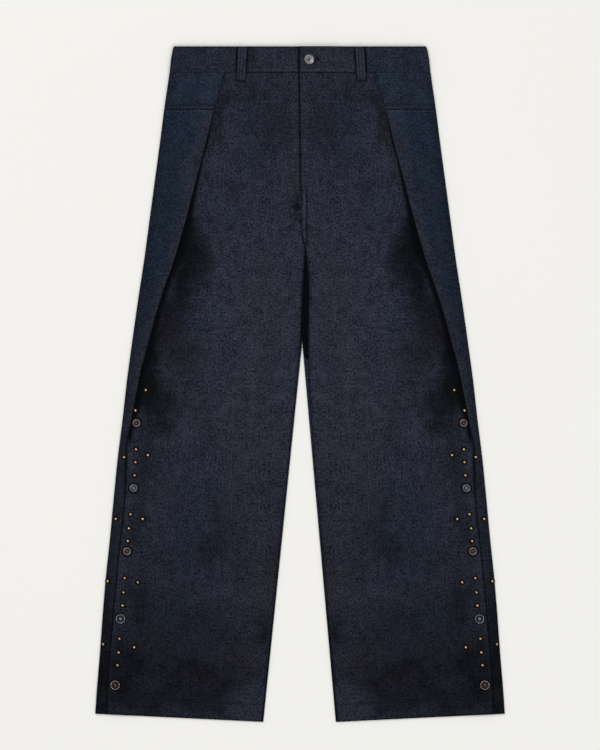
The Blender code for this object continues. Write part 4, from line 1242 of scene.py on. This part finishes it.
def stitch(start, end, radius):
    """One stitch of thread between two points, thinner at its ends."""
    start, along = np.array(start), np.subtract(end, start)
    across = np.array((-along[1], along[0], 0.0))
    across = across / max(np.linalg.norm(across), 1e-6)
    up = np.array((0.0, 0.0, 1.0))
    rings = ((0.0, 0.35, -0.5), (0.22, 1.0, 0.0), (0.78, 1.0, 0.0), (1.0, 0.35, -0.5))
    points = []
    for share, size, lift in rings:
        for angle in (2 * pi / STITCH_SIDES * step for step in range(STITCH_SIDES)):
            ring = across * cos(angle) + up * (sin(angle) * 0.8 + lift)
            points.append(start + along * share + ring * radius * size)
    sides = [face[:1] + face[:0:-1] for face in strips(len(rings), STITCH_SIDES)]
    last = (len(rings) - 1) * STITCH_SIDES
    return points, sides + [tuple(reversed(range(STITCH_SIDES))), tuple(range(last, last + STITCH_SIDES))], 0


def stitches(path):
    """A row of stitches along a path of points in millimetres."""
    path = np.array(path, dtype=float)
    run = np.concatenate([[0.0], np.cumsum(np.linalg.norm(np.diff(path, axis=0), axis=1))])
    shapes = []
    for number in range(int(run[-1] / STITCH_PITCH)):
        middle = (number + 0.5) * STITCH_PITCH
        start, end = (np.array([np.interp(place, run, path[:, axis]) for axis in range(3)])
                      for place in (middle - STITCH_LENGTH / 2, middle + STITCH_LENGTH / 2))
        shapes.append(stitch(start, end, STITCH_RADIUS))
    return shapes


def sew(side, places, height=None):
    """Stitches along places given by u and drop, on a face, or on the underside where no height is given."""
    def point(u, drop):
        z = height(side, u, drop) + THREAD_LIFT if height else STITCH_RADIUS
        return world(side, u, z, drop) / MM
    return stitches([point(u, drop) for u, drop in places])


def bar_tack(centre, width):
    """Close stitches side by side in a short bar across X."""
    x, y, z = centre + np.array((0.0, 0.0, TACK_LIFT))
    return [stitch((x + step, y - 0.9, z), (x + step + 0.2, y + 0.9, z), TACK_RADIUS)
            for step in np.arange(-width / 2, width / 2, TACK_PITCH)]


def hole_sewing():
    """Close stitches in darker thread, out from the rim of the keyhole and its slit."""
    y = LENGTH / 2 - BUTTON_DROP
    top = BAND_LAP + BAND_WALL / 2 + 0.1
    half = SLIT_WIDTH / 2
    opening = atan2(half, KEYHOLE_RADIUS)
    rim = [(BUTTON_X + KEYHOLE_RADIUS * cos(angle), y + KEYHOLE_RADIUS * sin(angle), cos(angle), sin(angle))
           for angle in np.arange(opening, 2 * pi - opening, HOLE_PITCH / KEYHOLE_RADIUS)]
    for x in np.arange(BUTTON_X + KEYHOLE_RADIUS, SLIT_END, HOLE_PITCH):
        rim += [(x, y + half, 0.0, 1.0), (x, y - half, 0.0, -1.0)]
    rim += [(SLIT_END, y + step, 1.0, 0.0) for step in np.arange(-half, half + 0.1, HOLE_PITCH)]
    shapes = [stitch((x, y0, top), (x + HOLE_STITCH * dx, y0 + HOLE_STITCH * dy, top), HOLE_RADIUS)
              for x, y0, dx, dy in rim]
    return solid("sewing_buttonhole", shapes, "denim", [DARK_THREAD])


def band_point(x, drop, z):
    """A point in millimetres on the waistband's upper face."""
    return world(RIGHT, x, z + band_relief(x, z, drop) + BAND_WALL / 2 + 0.1, drop) / MM


def waist_sewing():
    """Sewing of the waistband and the front belt loops."""
    shapes = []
    edge = read(INNER, "front_right", 20.0)
    for drop in BAND_SEAMS:
        end_x = read(OUTLINE, "side", drop) - 4.0
        for start, end in ((-end_x, edge - 1.5), (edge + 2.4, end_x)):
            xs = np.arange(start, end, 2.5)
            lifts = (BAND_LAP - BAND_FRONT) * (1 - ease(xs, FLY_INNER, 75)) * (xs > -1.2)
            shapes += stitches([band_point(x, drop, BAND_FRONT + lift) for x, lift in zip(xs, lifts)])
    shapes += stitches([band_point(edge + 2.4, drop, BAND_LAP)
                        for drop in np.arange(BAND_SEAMS[0], BAND_DEPTH - 2, 2.0)])
    for side in SIDES:
        for away in (-LOOP_SEWING, LOOP_SEWING):
            lift = loop_ridges(away) + LOOP_WALL / 2 + 0.05
            shapes += stitches([world(RIGHT, loop_x(side, drop) + away,
                                      front_loop_height(side, drop) + lift, drop) / MM
                                for drop in np.arange(1.6, LOOP_LENGTH - 1.5, 1.5)])
        for drop in LOOP_TACKS:
            height = front_loop_height(side, drop) + LOOP_WALL / 2
            shapes += bar_tack(world(RIGHT, loop_x(side, drop), height, drop) / MM, LOOP_TACK_WIDTH)
    return solid("sewing_waist", shapes, "denim", [THREAD])


def fly_sewing():
    """Sewing of the fly and of the centre seam below it."""
    drops = np.concatenate([np.arange(BAND_DEPTH + 2, FLY_SEAM_TURN, SEWING_STEP),
                            FLY_SEAM_TURN + (FLY_END - FLY_SEAM_TURN) * np.sin(np.linspace(0, pi / 2, 26))])
    shapes = sew(RIGHT, [(fly_stitch(drop), drop) for drop in drops], front_top)
    rows = [(2.2, BAND_DEPTH + 2, FLY_END - 2)] + [(away, *CENTRE_SEAM) for away in CENTRE_SEAM_ROWS]
    for away, start, end in rows:
        shapes += sew(RIGHT, [(front_inner(RIGHT, drop) + away, drop)
                              for drop in np.arange(start, end, SEWING_STEP)], front_top)
    for u, drop in FLY_TACKS:
        shapes += bar_tack(world(RIGHT, u, front_top(RIGHT, u, drop), drop) / MM, FLY_TACK_WIDTH)
    return solid("sewing_fly", shapes, "denim", [THREAD])


def leg_sewing(side):
    """Sewing of one leg: the yoke, the studded edge, and the hem, in front and at the back."""
    def across(start, end, line):
        return [(u, line(u)) for u in np.arange(start, end, SEWING_STEP)]

    def yoke_line(u):
        return YOKE_STITCH

    fold, outline = fold_at(YOKE_STITCH), outline_at(YOKE_STITCH)
    hem = LENGTH - HEM_DEPTH
    inner, hem_fold, hem_outline = front_inner(side, hem), fold_at(hem), outline_at(hem)
    shapes = sew(side, across(fold + 3, outline - 3, yoke_line), side_top)
    shapes += sew(side, [(fold_at(drop) - EDGE_SEAM, drop)
                         for drop in np.arange(EDGE_SEAM_TOP, LENGTH - 2, SEWING_STEP)], front_top)
    shapes += sew(side, across(inner + 1, hem_fold - 1, hem_stitch), front_top)
    shapes += sew(side, across(hem_fold + 2, hem_outline - 3, hem_stitch), side_top)
    shapes += sew(side, across(inner + 6, hem_outline - 8, hem_stitch))
    shapes += sew(side, across(12, outline - 8, yoke_line))
    for away in BACK_SEAM_ROWS if side == RIGHT else ():
        shapes += sew(side, [(inner_at(side, "back", drop, 16.0) + away, drop)
                             for drop in np.arange(BAND_DEPTH + 3, BACK_ROWS_END, SEWING_STEP)])
    return solid("sewing_" + SIDES[side], shapes, "denim", [THREAD])


def area_light(name, place, target, size, power, colour):
    """A soft box of light turned towards a point."""
    light = bpy.data.lights.new(name, "AREA")
    light.shape, light.size, light.energy, light.color = "SQUARE", size, power, colour
    lamp = bpy.data.objects.new(name, light)
    bpy.context.scene.collection.objects.link(lamp)
    lamp.location = place
    x, y, z = np.subtract(target, place)
    lamp.rotation_euler = (atan2(hypot(x, y), -z), 0.0, atan2(y, x) - pi / 2)


def make_stage():
    """The floor, the lights and the camera straight above the garment."""
    bpy.ops.mesh.primitive_plane_add(size=FLOOR_SIZE)
    floor = bpy.context.object
    floor.name = "floor"
    floor.location.z = -FLOOR_CLEARANCE * MM
    floor.data.materials.append(floor_material("pale_floor"))
    studio = bpy.data.worlds.new("studio")
    studio.use_nodes = True
    backdrop = studio.node_tree.nodes["Background"]
    backdrop.inputs["Color"].default_value = (1.0, 1.0, 1.0, 1.0)
    backdrop.inputs["Strength"].default_value = SKY_STRENGTH
    bpy.context.scene.world = studio
    area_light(*KEY_LIGHT)
    area_light(*FILL_LIGHT)
    camera = bpy.data.objects.new("camera", bpy.data.cameras.new("camera"))
    bpy.context.scene.collection.objects.link(camera)
    camera.location = (0.0, CAMERA_Y, CAMERA_HEIGHT)
    camera.data.lens = CAMERA_LENS
    bpy.context.scene.camera = camera
    bpy.context.scene.view_settings.view_transform = "Standard"


def dress():
    """Make every piece of the garment."""
    yoke_drops = steps(PANEL_TOP, YOKE_SEAM, 3.0, (PANEL_TOP, YOKE_STITCH, YOKE_SEAM))
    leg_top = YOKE_SEAM + SEAM_GAP
    leg_drops = steps(leg_top, LENGTH, 4.0, (leg_top, LENGTH - HEM_DEPTH, LENGTH))
    waist, fly = waist_sewing(), fly_sewing()
    band, button = waistband(), tack_button()
    hole_sewing()
    fly_shield()
    for side, name in SIDES.items():
        sewing = leg_sewing(side)
        back_panel(side, yoke_drops, "yoke_" + name)
        back_panel(side, leg_drops, "back_leg_" + name)
        front = front_leg(side)
        trims = [studs(side)]
        trims += [snap(side, number + 1, *row) for number, row in enumerate(zip(*SNAPS.values()))]
        front_loop(side)
    back_seam()
    for name, x in BACK_LOOPS.items():
        back_loop(name, x)


make_stage()
dress()
